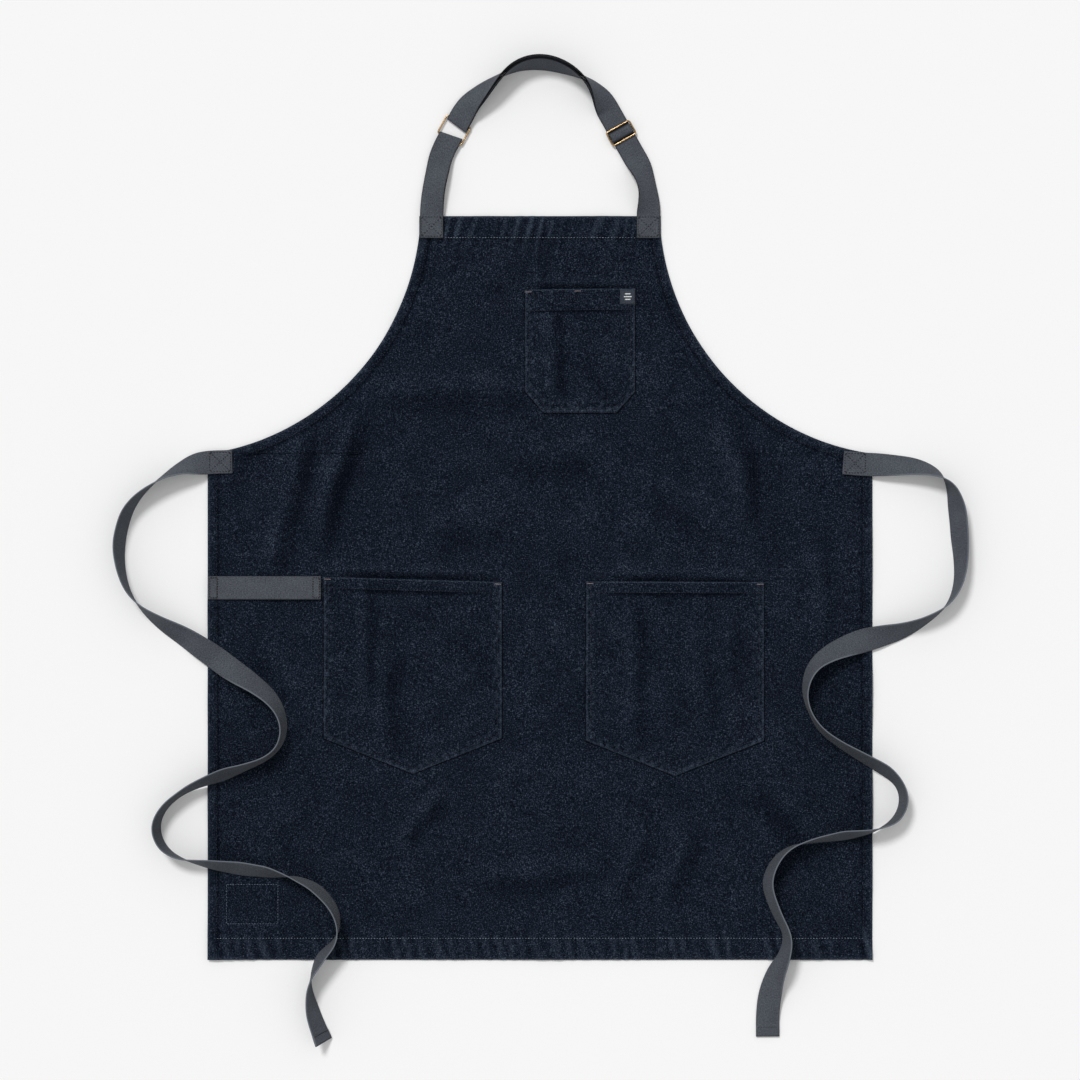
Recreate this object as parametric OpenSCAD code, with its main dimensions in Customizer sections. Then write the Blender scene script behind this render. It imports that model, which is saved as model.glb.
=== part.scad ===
// Bib apron laid flat, front face up.
// X runs across the apron, Y from the bottom hem towards the neck, Z up from the surface it lies on.
// The origin is the middle of the apron's length and width, on that surface.

/* [Apron body] */
// Width of the skirt
body_width = 724; // [640:1:800]
// Length from the bottom hem to the top hem
body_length = 810; // [760:1:860]
// Width of the bib at the top hem
bib_width = 263; // [250:1:290]
// Height of the straight side edges
side_height = 552; // [520:1:580]
// Thickness of one layer of denim
cloth = 0.8; // [0.6:0.1:1.2]
// Depth of the top and bottom hems
end_hem = 25; // [18:1:32]
// Depth of the side and armhole hems
side_hem = 11; // [8:1:16]

/* [Pockets] */
// Width of the chest pocket
chest_width = 122; // [100:1:130]
// Depth of the chest pocket
chest_depth = 136; // [110:1:150]
// Width of each hip pocket
hip_width = 196; // [170:1:200]
// Depth of a hip pocket at its sides
hip_side_depth = 174; // [140:1:190]
// Depth of a hip pocket at its point
hip_point_depth = 213; // [195:1:230]
// Height of the gap behind a pocket's mouth
pocket_bulge = 7; // [6:0.5:9]

/* [Webbing and metal] */
// Width of the webbing
web_width = 25.4; // [24:0.1:25.8]
// Thickness of the webbing
web = 1.3; // [1:0.1:1.4]
// Diameter of the brass wire
wire = 2; // [1.6:0.1:2.2]
// Reach of the neck loop above the top hem
loop_reach = 173; // [173:1:173]

/* [Hidden] */

denim = [0.10, 0.12, 0.16];
webbing = [0.29, 0.31, 0.335];
brass = [0.72, 0.55, 0.30];
thread = [0.34, 0.38, 0.44];
bartack_thread = [0.55, 0.46, 0.46];
label_cloth = [0.03, 0.03, 0.035];

half = body_width / 2;
bottom = -(body_length + loop_reach) / 2;
top = bottom + body_length;
waist = bottom + side_height;
bib_half = bib_width / 2;
hem = 3 * cloth;
row_inset = 1.5;
thread_w = 0.7;
thread_h = 0.3;
gap = 0.3;

// ---------- curves ----------
function mix(a, b, t) = a + (b - a) * t;
function clamp01(t) = min(1, max(0, t));
function ease(t) = let (c = clamp01(t)) c * c * (3 - 2 * c);
function bezier(p, t) =
    pow(1 - t, 3) * p[0] + 3 * t * pow(1 - t, 2) * p[1] + 3 * t * t * (1 - t) * p[2] + t * t * t * p[3];
function unit(v) = v / norm(v);
function left_of(d) = [-d.y, d.x];
function catmull(a, b, c, d, t) =
    0.5 * (2 * b + (c - a) * t + (2 * a - 5 * b + 4 * c - d) * t * t + (3 * b - a - 3 * c + d) * t * t * t);
// A route with a point added between each two: its x and y curve smoothly, the rest is halfway
function halfway(r, i) = let (
    n = len(r), m = (r[i] + r[i + 1]) / 2,
    q = catmull(r[max(0, i - 1)], r[i], r[i + 1], r[min(n - 1, i + 2)], 0.5)
) [for (k = [0 : len(m) - 1]) k < 2 ? q[k] : m[k]];
function smooth(r) = let (n = len(r)) [
    for (i = [0 : n - 1]) each (i == n - 1 ? [r[i]] : [r[i], halfway(r, i)])
];

// ---------- outline of the body ----------
arm_steps = 20;
arm = [
    [bib_half, top - 20], [bib_half + 17, top - 160],
    [half - 105, waist + 14], [half - 4, waist]
];
arm_curve = [for (i = [0 : arm_steps]) bezier(arm, i / arm_steps)];
function arm_dir(i) = unit(arm_curve[min(arm_steps, i + 1)] - arm_curve[max(0, i - 1)]);
// The armhole edge moved into the cloth by d
function arm_inner(d) = [for (i = [0 : arm_steps]) arm_curve[i] - d * left_of(arm_dir(i))];
right_edge = concat([[half, bottom], [half, waist - 3]], [for (i = [arm_steps : -1 : 0]) arm_curve[i]],
    [[bib_half, top]]);
left_edge = [for (i = [len(right_edge) - 1 : -1 : 0]) [-right_edge[i].x, right_edge[i].y]];

module outline() {
    polygon(concat(right_edge, left_edge));
}

// Everything outside the armhole edge moved in by d
module armhole_cut(d) {
    edge = arm_inner(d);
    polygon(concat([[edge[0].x, top + 50]], edge, [[half + 50, edge[arm_steps].y], [half + 50, top + 50]]));
}

// The part of the panel inside its hems
module inside_hems() {
    difference() {
        translate([-half + side_hem, bottom + end_hem])
            square([2 * (half - side_hem), body_length - 2 * end_hem]);
        armhole_cut(side_hem);
        mirror([1, 0]) armhole_cut(side_hem);
    }
}

// ---------- ribbons of webbing ----------
function ribbon_section(t) = let (w = web_width / 2, h = t / 2) [
    [-w, -h / 2], [-w + h, -h], [w - h, -h], [w, -h / 2], [w, h / 2], [w - h, h], [-w + h, h], [-w, h / 2]
];
function route_dir(r, i) = let (n = len(r))
    unit([r[min(n - 1, i + 1)].x - r[max(0, i - 1)].x, r[min(n - 1, i + 1)].y - r[max(0, i - 1)].y]);
// Across the webbing and out of its face, for a route direction d and a tilt a
function across(d, a) = [-d.y * cos(a), d.x * cos(a), sin(a)];
function out_of(d, a) = [d.y * sin(a), -d.x * sin(a), cos(a)];

// A route point is x, y, tilt and the height of the lowest edge.
// The webbing is t thick and its middle is raised along its face by shift; stack is all layers together.
module ribbon(route, t, stack, shift) {
    s = ribbon_section(t);
    n = len(s);
    m = len(route);
    points = [for (i = [0 : m - 1]) let (
        p = route[i], d = route_dir(route, i), w = across(d, p[2]), f = out_of(d, p[2]),
        z = p[3] + web_width / 2 * abs(sin(p[2])) + stack / 2 * abs(cos(p[2]))
    ) for (q = s) [p.x, p.y, z] + q.x * w + (q.y + shift) * f];
    sides = [for (i = [0 : m - 2]) for (j = [0 : n - 1]) let (
        a = i * n + j, b = i * n + (j + 1) % n, c = a + n, e = b + n
    ) each (j < n / 2 ? [[a, c, e], [a, e, b]] : [[a, c, b], [c, e, b]])];
    caps = [[for (j = [0 : n - 1]) j], [for (j = [n - 1 : -1 : 0]) (m - 1) * n + j]];
    polyhedron(points, concat(sides, caps));
}

// A stitched thread line between two points at height z
module stitch(a, b, z, w = thread_w) {
    d = b - a;
    translate([a.x, a.y, z]) rotate(atan2(d.y, d.x)) translate([0, -w / 2, 0]) cube([norm(d), w, thread_h]);
}

module stitch_path(points, z) {
    for (i = [0 : len(points) - 2]) stitch(points[i], points[i + 1], z);
}

// A stitched rectangle, with its diagonals where cross is true
module stitch_box(x0, y0, x1, y1, z, cross) {
    stitch_path([[x0, y0], [x1, y0], [x1, y1], [x0, y1], [x0, y0]], z);
    if (cross) {
        stitch([x0, y0], [x1, y1], z);
        stitch([x0, y1], [x1, y0], z);
    }
}

// ---------- pockets ----------
// A pocket is x of its middle, y of its mouth, width, side depth, point depth, corner width,
// hem depth, and the flat margins at its left and right.
chest = [43.5, 239, chest_width, chest_depth - 24, chest_depth, 21, 24, 8, 19];
hip_left = [-138.5, -77, hip_width, hip_side_depth, hip_point_depth, hip_width / 2, 13, 9, 9];
hip_right = [147, -79.5, hip_width, hip_side_depth, hip_point_depth, hip_width / 2, 13, 9, 9];
bulge_rise = 26;
hem_layers = 2.2;

function pocket_floor(p, x) = let (d = p[2] / 2 - abs(x)) -mix(p[3], p[4], clamp01(d / p[5]));
function pocket_lift(p, x, y) = let (
    across_mouth = min(x + p[2] / 2 - p[7], p[2] / 2 - x - p[8]) / bulge_rise,
    up = (y - pocket_floor(p, x) - flat_floor) / (0.75 * p[3])
) pocket_bulge * ease(across_mouth) * ease(up);
function pocket_cloth(p, y) = y > -p[6] ? hem_layers * cloth : cloth;
function pocket_columns(p) = let (w = p[2] / 2) [
    -w, -w + p[7], -w + p[7] + bulge_rise / 3, -w + p[7] + 2 * bulge_rise / 3, -w + p[7] + bulge_rise,
    -w + max(p[5], p[7] + bulge_rise + 6), w - max(p[5], p[8] + bulge_rise + 6) + 0.5,
    w - p[8] - bulge_rise, w - p[8] - 2 * bulge_rise / 3, w - p[8] - bulge_rise / 3, w - p[8], w
];
pocket_rows = 9;
flat_floor = 9;
function pocket_y(p, x, row) =
    row == 0 ? 0 : row == 1 ? -p[6] + 0.4 : row == 2 ? -p[6] - 0.4
    : row == pocket_rows ? pocket_floor(p, x)
    : mix(-p[6] - 0.4, pocket_floor(p, x) + flat_floor, (row - 2) / (pocket_rows - 3));

module pocket(p) {
    xs = pocket_columns(p);
    nx = len(xs);
    ny = pocket_rows + 1;
    low = [for (r = [0 : pocket_rows]) for (x = xs) let (y = pocket_y(p, x, r))
        [p[0] + x, p[1] + y, cloth + pocket_lift(p, x, y)]];
    high = [for (r = [0 : pocket_rows]) for (x = xs) let (y = pocket_y(p, x, r))
        [p[0] + x, p[1] + y, cloth + pocket_lift(p, x, y) + pocket_cloth(p, y)]];
    k = nx * ny;
    grid = [for (r = [0 : pocket_rows - 1]) for (c = [0 : nx - 2]) let (a = r * nx + c, b = a + nx)
        each [[a, b, b + 1], [a, b + 1, a + 1], [k + a, k + a + 1, k + b + 1], [k + a, k + b + 1, k + b]]];
    rim = concat(
        [for (c = [0 : nx - 2]) each [[c, c + 1, k + c + 1], [c, k + c + 1, k + c]]],
        [for (c = [0 : nx - 2]) let (a = pocket_rows * nx + c)
            each [[a, k + a, k + a + 1], [a, k + a + 1, a + 1]]],
        [for (r = [0 : pocket_rows - 1]) let (a = r * nx, b = a + nx) each [[a, k + a, k + b], [a, k + b, b]]],
        [for (r = [0 : pocket_rows - 1]) let (a = r * nx + nx - 1, b = a + nx)
            each [[a, b, k + b], [a, k + b, k + a]]]
    );
    polyhedron(concat(low, high), concat(grid, rim));
}

// The sewn outline of a pocket, d in from its edge, from below the mouth hem round to below it again
function pocket_seam(p, d) = let (w = p[2] / 2 - d, f = p[4] - p[3], q = p[5]) [
    [p[0] - w, p[1] - p[6] - 1], [p[0] - w, p[1] - p[3] + d / 2],
    [p[0] - p[2] / 2 + q, p[1] - p[4] + d], [p[0] + p[2] / 2 - q + 0.01, p[1] - p[4] + d],
    [p[0] + w, p[1] - p[3] + d / 2], [p[0] + w, p[1] - p[6] - 1]
];

module pocket_stitching(p) {
    for (d = [1.5, 6]) {
        stitch_path(pocket_seam(p, d), 2 * cloth);
        for (side = [-1, 1])
            stitch([p[0] + side * (p[2] / 2 - d), p[1] - p[6] + 0.5],
                [p[0] + side * (p[2] / 2 - d), p[1] - 3.4], (1 + hem_layers) * cloth);
    }
}

module bartack(p, x, length) {
    translate([p[0] + x - length / 2, p[1] - 3, cloth + pocket_lift(p, x, 0) + hem_layers * cloth])
        cube([length, 1.6, 0.6]);
}

// ---------- neck loop ----------
neck_x = bib_half - web_width / 2 - 0.8;
hinge_gap = 1.2;
fold_y = top + 0.3;
anchor_thick = 2 * web;
fold_z = hem + anchor_thick + 0.4;
layer = web / 2 + gap / 2;
stack = 2 * web + gap;

ring_at = [-93.5, top + 93.4];
ring_turn = -28.6;
ring_size = [31, 24];
ring_z = wire / 2 + web + gap + 0.2;
slide_at = [88.3, top + 90];
slide_turn = 29.4;
slide_size = [30.4, 18];
slide_z = 0.1 + stack + gap + wire / 2;
corner_r = 2.5;
fold_tail = 10;

// Points are x, height above the top hem, tilt and height of the lowest edge
anchor_points = [
    [-neck_x, 1.5, 0, 2.25], [-117.3, 14, -12, 1.2], [-115.5, 30, -18, 0.4],
    [-112, 46, -16, 0.4], [-110, 56, -10, 0.6], [-107.9, 66.6, 0, 1.35], [-103.8, 74.2, 0, 1.35]
];
neck_points = [
    [neck_x, 1.5, 0, 0.8], [118, 15, 26, 0.1], [116.5, 29, 38, 0.1], [113, 42, 34, 0.1],
    [108.3, 54.4, 14, 0.1], [103, 64, 0, 0.1], [88.3, 90, 0, 0.1], [73.6, 116, 0, 0.1],
    [65, 130.5, 46, 0.1], [56, 143.5, 70, 0.1], [42, 154, 90, 0.1], [28, 161, 104, 0.1],
    [12, 166, 112, 0.1], [-3, 167.5, 112, 0.1], [-20, 165, 104, 0.1], [-36, 157.5, 90, 0.1],
    [-49, 147, 72, 0.1], [-60.5, 137, 50, 0.1], [-70.5, 127.3, 30, 0.2], [-78.4, 119.6, 10, 0.8],
    [-83.2, 112.3, 0, 1.35]
];
function from_hem(r) = [for (p = r) [p.x, top + p.y, p[2], p[3]]];
anchor_route = smooth(from_hem(anchor_points));
neck_route = smooth(from_hem(neck_points));
under_route = [for (i = [2 * 6 : len(neck_route) - 1]) neck_route[i]];

// A rounded rectangle of wire, long side along X, in the plane of its middle
module wire_frame(size) {
    x = size.x / 2 - wire / 2;
    y = size.y / 2 - wire / 2;
    for (s = [-1, 1]) {
        translate([-x + corner_r, s * y, 0]) rotate([0, 90, 0])
            cylinder(d = wire, h = 2 * (x - corner_r), $fn = 24);
        translate([s * x, -y + corner_r, 0]) rotate([-90, 0, 0])
            cylinder(d = wire, h = 2 * (y - corner_r), $fn = 24);
        for (t = [-1, 1])
            translate([s * (x - corner_r), t * (y - corner_r), 0])
                rotate(s > 0 ? (t > 0 ? 0 : 270) : (t > 0 ? 90 : 180))
                    rotate_extrude(angle = 90, $fn = 48) translate([corner_r, 0]) circle(d = wire, $fn = 24);
    }
}

// The end of a strap folded round a bar at the origin, its tail running along -Y
module strap_fold() {
    rout = wire / 2 + gap + web;
    rin = wire / 2 + gap;
    rotate([90, 0, 90]) translate([0, 0, -web_width / 2]) linear_extrude(web_width) difference() {
        polygon(concat([for (a = [-70 : 10 : 70]) rout * [cos(a), sin(a)]],
            [[0, rout], [-fold_tail, stack / 2], [-fold_tail, -stack / 2], [0, -rout]]));
        polygon(concat([for (a = [-80 : 20 : 80]) rin * [cos(a), sin(a)]], [[-fold_tail / 2, 0]]));
    }
}

// ---------- waist ties ----------
left_tie = [
    [-335, 51, 0], [-362, 50, 0], [-386, 45, 51], [-406, 36, 76], [-424, 24, 90], [-439, 10, 102],
    [-450, -8, 112], [-457, -38, 114], [-455, -66, 103], [-447, -90, 93], [-433, -108, 78],
    [-412, -124, 55], [-387, -139, 32], [-362, -156, 10], [-337, -174, -18], [-312, -190, -46],
    [-294, -204, -58], [-282, -221, -72], [-278, -240, -79], [-284, -259, -82], [-299, -272, -79],
    [-321, -281, -71], [-344, -289, -57], [-368, -298, -68], [-391, -310, -78], [-409, -326, -78],
    [-417, -346, -75], [-410, -367, -80], [-391, -380, -92], [-360, -386, -116], [-325, -391, -131],
    [-294, -395, -122], [-264, -402, -86], [-240, -415, -72], [-221, -440, -78], [-221, -467, -96],
    [-239, -489, -114], [-250, -515, -90], [-247, -546, -60], [-235, -580, -48]
];
right_tie = [
    [330, 50, 0], [356, 48, 0], [383, 47, -26], [410, 45, -46], [432, 38, -70], [446, 24, -104],
    [453, 0, -131], [456, -31, -131], [457, -60, -117], [453, -85, -102], [441, -106, -85],
    [418, -122, -68], [393, -133, -45], [366, -140, -18], [338, -148, 26], [316, -157, 47],
    [299, -169, 64], [290, -185, 76], [288, -204, 85], [294, -223, 88], [306, -241, 79],
    [326, -256, 74], [350, -270, 66], [374, -284, 60], [390, -299, 73], [395, -318, 75],
    [386, -338, 82], [364, -349, 101], [330, -355, 119], [298, -360, 106], [272, -368, 91],
    [255, -384, 78], [247, -408, 69], [256, -437, 70], [268, -463, 75], [265, -485, 66],
    [256, -507, 44], [250, -531, 15], [248, -553, 3], [248, -575, 0]
];
// Height of what a tie lies on, with a short ramp outside the panel
ramp = 24;
function laid_on(x, y) = let (out = max(abs(x) - half - 14, bottom - 14 - y)) hem * (1 - ease(out / ramp));
// The first three points are the patch that is sewn down; the rest lies over the stitching
function tie_route(r) = let (s = smooth(r)) [for (i = [0 : len(s) - 1])
    [s[i].x, s[i].y, s[i][2], laid_on(s[i].x, s[i].y) + (i < 3 ? 0 : thread_h + 0.1)]];

// ---------- towel loop ----------
loop_y = [-99, -73.6];
loop_under = [
    [-361, hem], [-349, hem], [-343, hem + 1.6], [-333, 6.2], [-318, 7], [-300, 7.2], [-282, 7],
    [-267, 6.2], [-257, 3.2], [-250, cloth], [-238.5, cloth]
];

// ---------- sub-parts ----------
module body_panel() color(denim) difference() {
    union() {
        linear_extrude(cloth) outline();
        linear_extrude(hem) difference() {
            outline();
            inside_hems();
        }
    }
    translate([back_label_box[0], back_label_box[1], -1])
        cube([back_label_size.x, back_label_size.y, 1 + back_label_thick]);
}

back_label_box = [-343, -454];
back_label_size = [59, 46];
back_label_thick = 0.4;

module back_label() color([0.75, 0.75, 0.72]) translate([back_label_box[0], back_label_box[1], 0])
    cube([back_label_size.x, back_label_size.y, back_label_thick]);

module back_label_stitching() color(thread)
    stitch_box(back_label_box[0] + 1.5, back_label_box[1] + 1.5, back_label_box[0] + back_label_size.x - 1.5,
        back_label_box[1] + back_label_size.y - 1.5, cloth, false);

module hem_stitching() color(thread) {
    x = half - side_hem + row_inset;
    y = bottom + end_hem - row_inset;
    // the armhole row stops short of the sewn ends of the ties
    arm_row = [for (i = [1 : arm_steps]) let (q = arm_inner(side_hem - row_inset)[i]) if (q.x < half - 42) q];
    stitch([-x, y], [x, y], hem);
    stitch([-neck_x + web_width / 2 + 1, top - end_hem + row_inset],
        [neck_x - web_width / 2 - 1, top - end_hem + row_inset], hem);
    stitch([x, y], [x, 30], hem);
    stitch([-x, y], [-x, loop_y[0] - 1], hem);
    stitch([-x, loop_y[1] + 1], [-x, 30], hem);
    for (m = [0, 1]) mirror([m, 0, 0]) stitch_path(arm_row, hem);
}

module chest_pocket() color(denim) pocket(chest);
module chest_pocket_stitching() color(thread) pocket_stitching(chest);
module hip_pocket_left() color(denim) pocket(hip_left);
module hip_pocket_left_stitching() color(thread) pocket_stitching(hip_left);
module hip_pocket_right() color(denim) pocket(hip_right);
module hip_pocket_right_stitching() color(thread) pocket_stitching(hip_right);

label_side = 16.5;
label_top = (1 + hem_layers) * cloth + thread_h;
label_corner = [chest[0] + chest[2] / 2 - label_side - 0.8, chest[1] - label_side - 0.2];
module pocket_label() color(label_cloth) translate([label_corner.x, label_corner.y, label_top])
    cube([label_side, label_side, cloth]);

module pocket_label_stitching() color(webbing)
    stitch_box(label_corner.x + 1, label_corner.y + 1, label_corner.x + label_side - 1,
        label_corner.y + label_side - 1, label_top + cloth, false);

module pocket_bartacks() color(bartack_thread) {
    bartack(chest, -chest[2] / 2 + 4.3, 7);
    bartack(chest, -2.6, 8);
    for (p = [hip_left, hip_right]) for (side = [-1, 1]) bartack(p, side * (p[2] / 2 - 5), 7);
}

module towel_loop() color(webbing)
    translate([0, loop_y[1], 0]) rotate([90, 0, 0]) linear_extrude(loop_y[1] - loop_y[0])
        polygon(concat(loop_under, [for (i = [len(loop_under) - 1 : -1 : 0]) loop_under[i] + [0, web]]));

module towel_loop_stitching() color(bartack_thread) {
    stitch_box(-359, loop_y[0] + 1.5, -351, loop_y[1] - 1.5, hem + web, false);
    stitch_box(-247.5, loop_y[0] + 1.5, -240, loop_y[1] - 1.5, cloth + web, false);
}

module sewn_end(x, thick) translate([x - web_width / 2, top - end_hem + 0.5, hem])
    cube([web_width, end_hem - 0.5, thick]);
module anchor_strap_end() color(webbing) sewn_end(-neck_x, anchor_thick);
module neck_strap_end() color(webbing) sewn_end(neck_x, web);

module neck_strap_stitching() color(thread) for (s = [[-1, anchor_thick], [1, web]])
    stitch_box(s[0] * neck_x - web_width / 2 + 1.5, top - end_hem + 2, s[0] * neck_x + web_width / 2 - 1.5,
        top - 2, hem + s[1], true);

module waist_tie_stitching() color(thread) {
    z = hem + web;
    stitch_box(-359, 40, -336.5, 61, z, true);
    stitch_box(332, 38.5, 354, 59.5, z, true);
}

module waist_tie_left() color(webbing) ribbon(tie_route(left_tie), web, web, 0);
module waist_tie_right() color(webbing) ribbon(tie_route(right_tie), web, web, 0);

module anchor_strap() color(webbing) ribbon(anchor_route, stack, stack, 0);
module anchor_strap_fold() color(webbing) translate([ring_at.x, ring_at.y, ring_z]) rotate(ring_turn)
    translate([0, -ring_size.y / 2 + wire / 2, 0]) strap_fold();

module neck_strap_upper() color(webbing) ribbon(neck_route, web, stack, layer);
module neck_strap_under() color(webbing) ribbon(under_route, web, stack, -layer);

module neck_ring() color(brass) translate([ring_at.x, ring_at.y, ring_z]) rotate(ring_turn)
    wire_frame(ring_size);
module neck_strap_fold() color(webbing) translate([ring_at.x, ring_at.y, ring_z]) rotate(ring_turn)
    translate([0, ring_size.y / 2 - wire / 2, 0]) rotate(180) strap_fold();

module at_slide() translate([slide_at.x, slide_at.y, slide_z]) rotate(slide_turn) children();
module slide_frame() color(brass) at_slide() wire_frame(slide_size);
module slide_bar() color(brass) at_slide() rotate([0, 90, 0])
    cylinder(d = wire, h = slide_size.x - 2 * wire, center = true, $fn = 24);

// The strap's rise over the centre bar, between the two long bars of the frame
module slide_strap_hump() color(webbing) at_slide() {
    reach = slide_size.y / 2 - wire - gap;
    over = wire / 2 + gap;
    low = -wire / 2 - gap / 2;
    under = [[-reach, low], [-reach + 1.6, low], [-over, over - 0.5], [-over / 2, over], [over / 2, over],
        [over, over - 0.5], [reach - 1.6, low], [reach, low]];
    rotate([90, 0, 90]) translate([0, 0, -web_width / 2]) linear_extrude(web_width)
        polygon(concat(under, [for (i = [len(under) - 1 : -1 : 0]) under[i] + [0, web]]));
}

body_panel();
hem_stitching();
back_label();
back_label_stitching();
chest_pocket();
chest_pocket_stitching();
pocket_label();
pocket_label_stitching();
hip_pocket_left();
hip_pocket_right();
hip_pocket_left_stitching();
hip_pocket_right_stitching();
pocket_bartacks();
towel_loop();
towel_loop_stitching();
anchor_strap_end();
neck_strap_end();
neck_strap_stitching();
waist_tie_stitching();
waist_tie_left();
waist_tie_right();
anchor_strap();
anchor_strap_fold();
neck_strap_upper();
neck_strap_under();
neck_ring();
neck_strap_fold();
slide_frame();
slide_bar();
slide_strap_hump();
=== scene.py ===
import math

import bpy
import numpy as np
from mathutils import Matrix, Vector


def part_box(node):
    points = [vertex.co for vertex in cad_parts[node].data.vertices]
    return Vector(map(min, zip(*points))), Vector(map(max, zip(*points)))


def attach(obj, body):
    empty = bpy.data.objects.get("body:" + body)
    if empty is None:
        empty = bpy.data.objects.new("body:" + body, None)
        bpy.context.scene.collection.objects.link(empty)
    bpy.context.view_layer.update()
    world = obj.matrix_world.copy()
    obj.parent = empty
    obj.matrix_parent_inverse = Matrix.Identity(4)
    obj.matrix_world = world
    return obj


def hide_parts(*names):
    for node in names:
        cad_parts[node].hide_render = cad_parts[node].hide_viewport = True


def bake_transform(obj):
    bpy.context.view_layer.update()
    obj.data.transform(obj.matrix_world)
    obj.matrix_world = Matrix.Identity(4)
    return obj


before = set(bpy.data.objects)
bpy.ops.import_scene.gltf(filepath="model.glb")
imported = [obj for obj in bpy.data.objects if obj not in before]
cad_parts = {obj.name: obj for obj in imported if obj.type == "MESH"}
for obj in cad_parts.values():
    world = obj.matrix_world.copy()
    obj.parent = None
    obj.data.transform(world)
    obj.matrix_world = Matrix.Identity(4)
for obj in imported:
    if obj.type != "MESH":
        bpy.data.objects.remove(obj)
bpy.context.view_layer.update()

MM = 0.001

# ---- camera and stage

FIELD_MM = 1177.0     # what the square picture takes in, at the floor
CAMERA_HEIGHT = 3.0
CAMERA_Y = -0.0343
SENSOR_MM = 36.0


def make_camera():
    data = bpy.data.cameras.new("camera")
    data.sensor_width = SENSOR_MM
    data.lens = SENSOR_MM * CAMERA_HEIGHT / (FIELD_MM * MM)
    camera = bpy.data.objects.new("camera", data)
    camera.location = (0, CAMERA_Y, CAMERA_HEIGHT)
    bpy.context.scene.collection.objects.link(camera)
    bpy.context.scene.camera = camera


make_camera()

# ---- sizes, from the frame


def box_mm(node):
    low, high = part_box(node)
    return np.array(low) / MM, np.array(high) / MM


(_, BOTTOM, _), (HALF, TOP, _) = box_mm("body_panel")
WAIST = BOTTOM + 552  # where the armholes start
WEB_WIDTH = 25.4
WEB = 1.3
NECK_X = np.mean(box_mm("neck_strap_end"), axis=0)[0]
BIB_HALF = NECK_X + WEB_WIDTH / 2 + 0.8
CLOTH = 0.8
HEM_EXTRA = 1.4       # how much the turned layers add to the cloth
END_HEM = 25.0
SIDE_HEM = 11.0
ROW_INSET = 1.5       # from a hem's inner edge to its row of stitches
STEP = 1.2            # over which a turned layer's edge steps down
WIRE = 2.0
GAP = 0.3
LAYER = WEB / 2 + GAP / 2
STACK = 2 * WEB + GAP


def ease(t):
    t = np.clip(t, 0, 1)
    return t * t * (3 - 2 * t)


def bump(d, width):
    return np.exp(-(d / width) ** 2)


def rounded(distance, radius, least):
    """How far a rounded edge has risen at a distance in from it: least its lowest square, 1 at radius."""
    return np.sqrt(np.clip(1 - (1 - np.clip(distance / radius, 0, 1)) ** 2, least, 1))


def unit(v):
    return v / np.linalg.norm(v, axis=-1, keepdims=True)


def run_length(points):
    """Length along a line from its first point to each point."""
    return np.concatenate([[0], np.cumsum(np.linalg.norm(np.diff(points, axis=0), axis=1))])


# ---- outline of the body

arm_corners = np.array([
    [BIB_HALF, TOP - 20], [BIB_HALF + 17, TOP - 160],
    [HALF - 105, WAIST + 14], [HALF - 4, WAIST],
])
arm_t = np.linspace(0, 1, 241)[:, None]
arm_curve = (
    (1 - arm_t) ** 3 * arm_corners[0] + 3 * arm_t * (1 - arm_t) ** 2 * arm_corners[1]
    + 3 * arm_t ** 2 * (1 - arm_t) * arm_corners[2] + arm_t ** 3 * arm_corners[3]
)
arm_edge = np.vstack([[BIB_HALF, TOP], arm_curve, [HALF, WAIST - 3], [HALF, BOTTOM]])
arm_length = run_length(arm_edge)
ARM_STRIDE = 6        # coarse pieces of the curve are near enough for a hem


def half_width(y):
    return np.interp(y, arm_edge[::-1, 1], arm_edge[::-1, 0])


def edge_distance(x, y):
    """(distance in from the side and armhole edge, length along that edge from the top corner)."""
    px, py = np.abs(x).ravel(), y.ravel()
    best, along = np.full(px.shape, np.inf), np.zeros(px.shape)
    last = len(arm_edge) - 3
    picks = [*range(0, last, ARM_STRIDE), last, last + 1, last + 2]
    for i, j in zip(picks[:-1], picks[1:]):
        a, d = arm_edge[i], arm_edge[j] - arm_edge[i]
        long = np.linalg.norm(d)
        t = np.clip(((px - a[0]) * d[0] + (py - a[1]) * d[1]) / long ** 2, 0, 1)
        off = np.hypot(px - a[0] - t * d[0], py - a[1] - t * d[1])
        near = off < best
        best = np.where(near, off, best)
        along = np.where(near, arm_length[i] + t * long, along)
    return best.reshape(np.shape(x)), along.reshape(np.shape(x))


# ---- how the cloth lies

def waves(x, y, seed, count, shortest, longest):
    """Smooth uneven height from crossing waves, about -1 to 1."""
    draw = np.random.RandomState(seed)
    total = np.zeros(np.shape(x))
    for _ in range(count):
        length = draw.uniform(shortest, longest)
        turn = draw.uniform(0, math.pi)
        phase = draw.uniform(0, 2 * math.pi)
        total = total + np.sin(2 * math.pi * (x * math.cos(turn) + y * math.sin(turn)) / length + phase)
    return total / math.sqrt(count)


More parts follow.
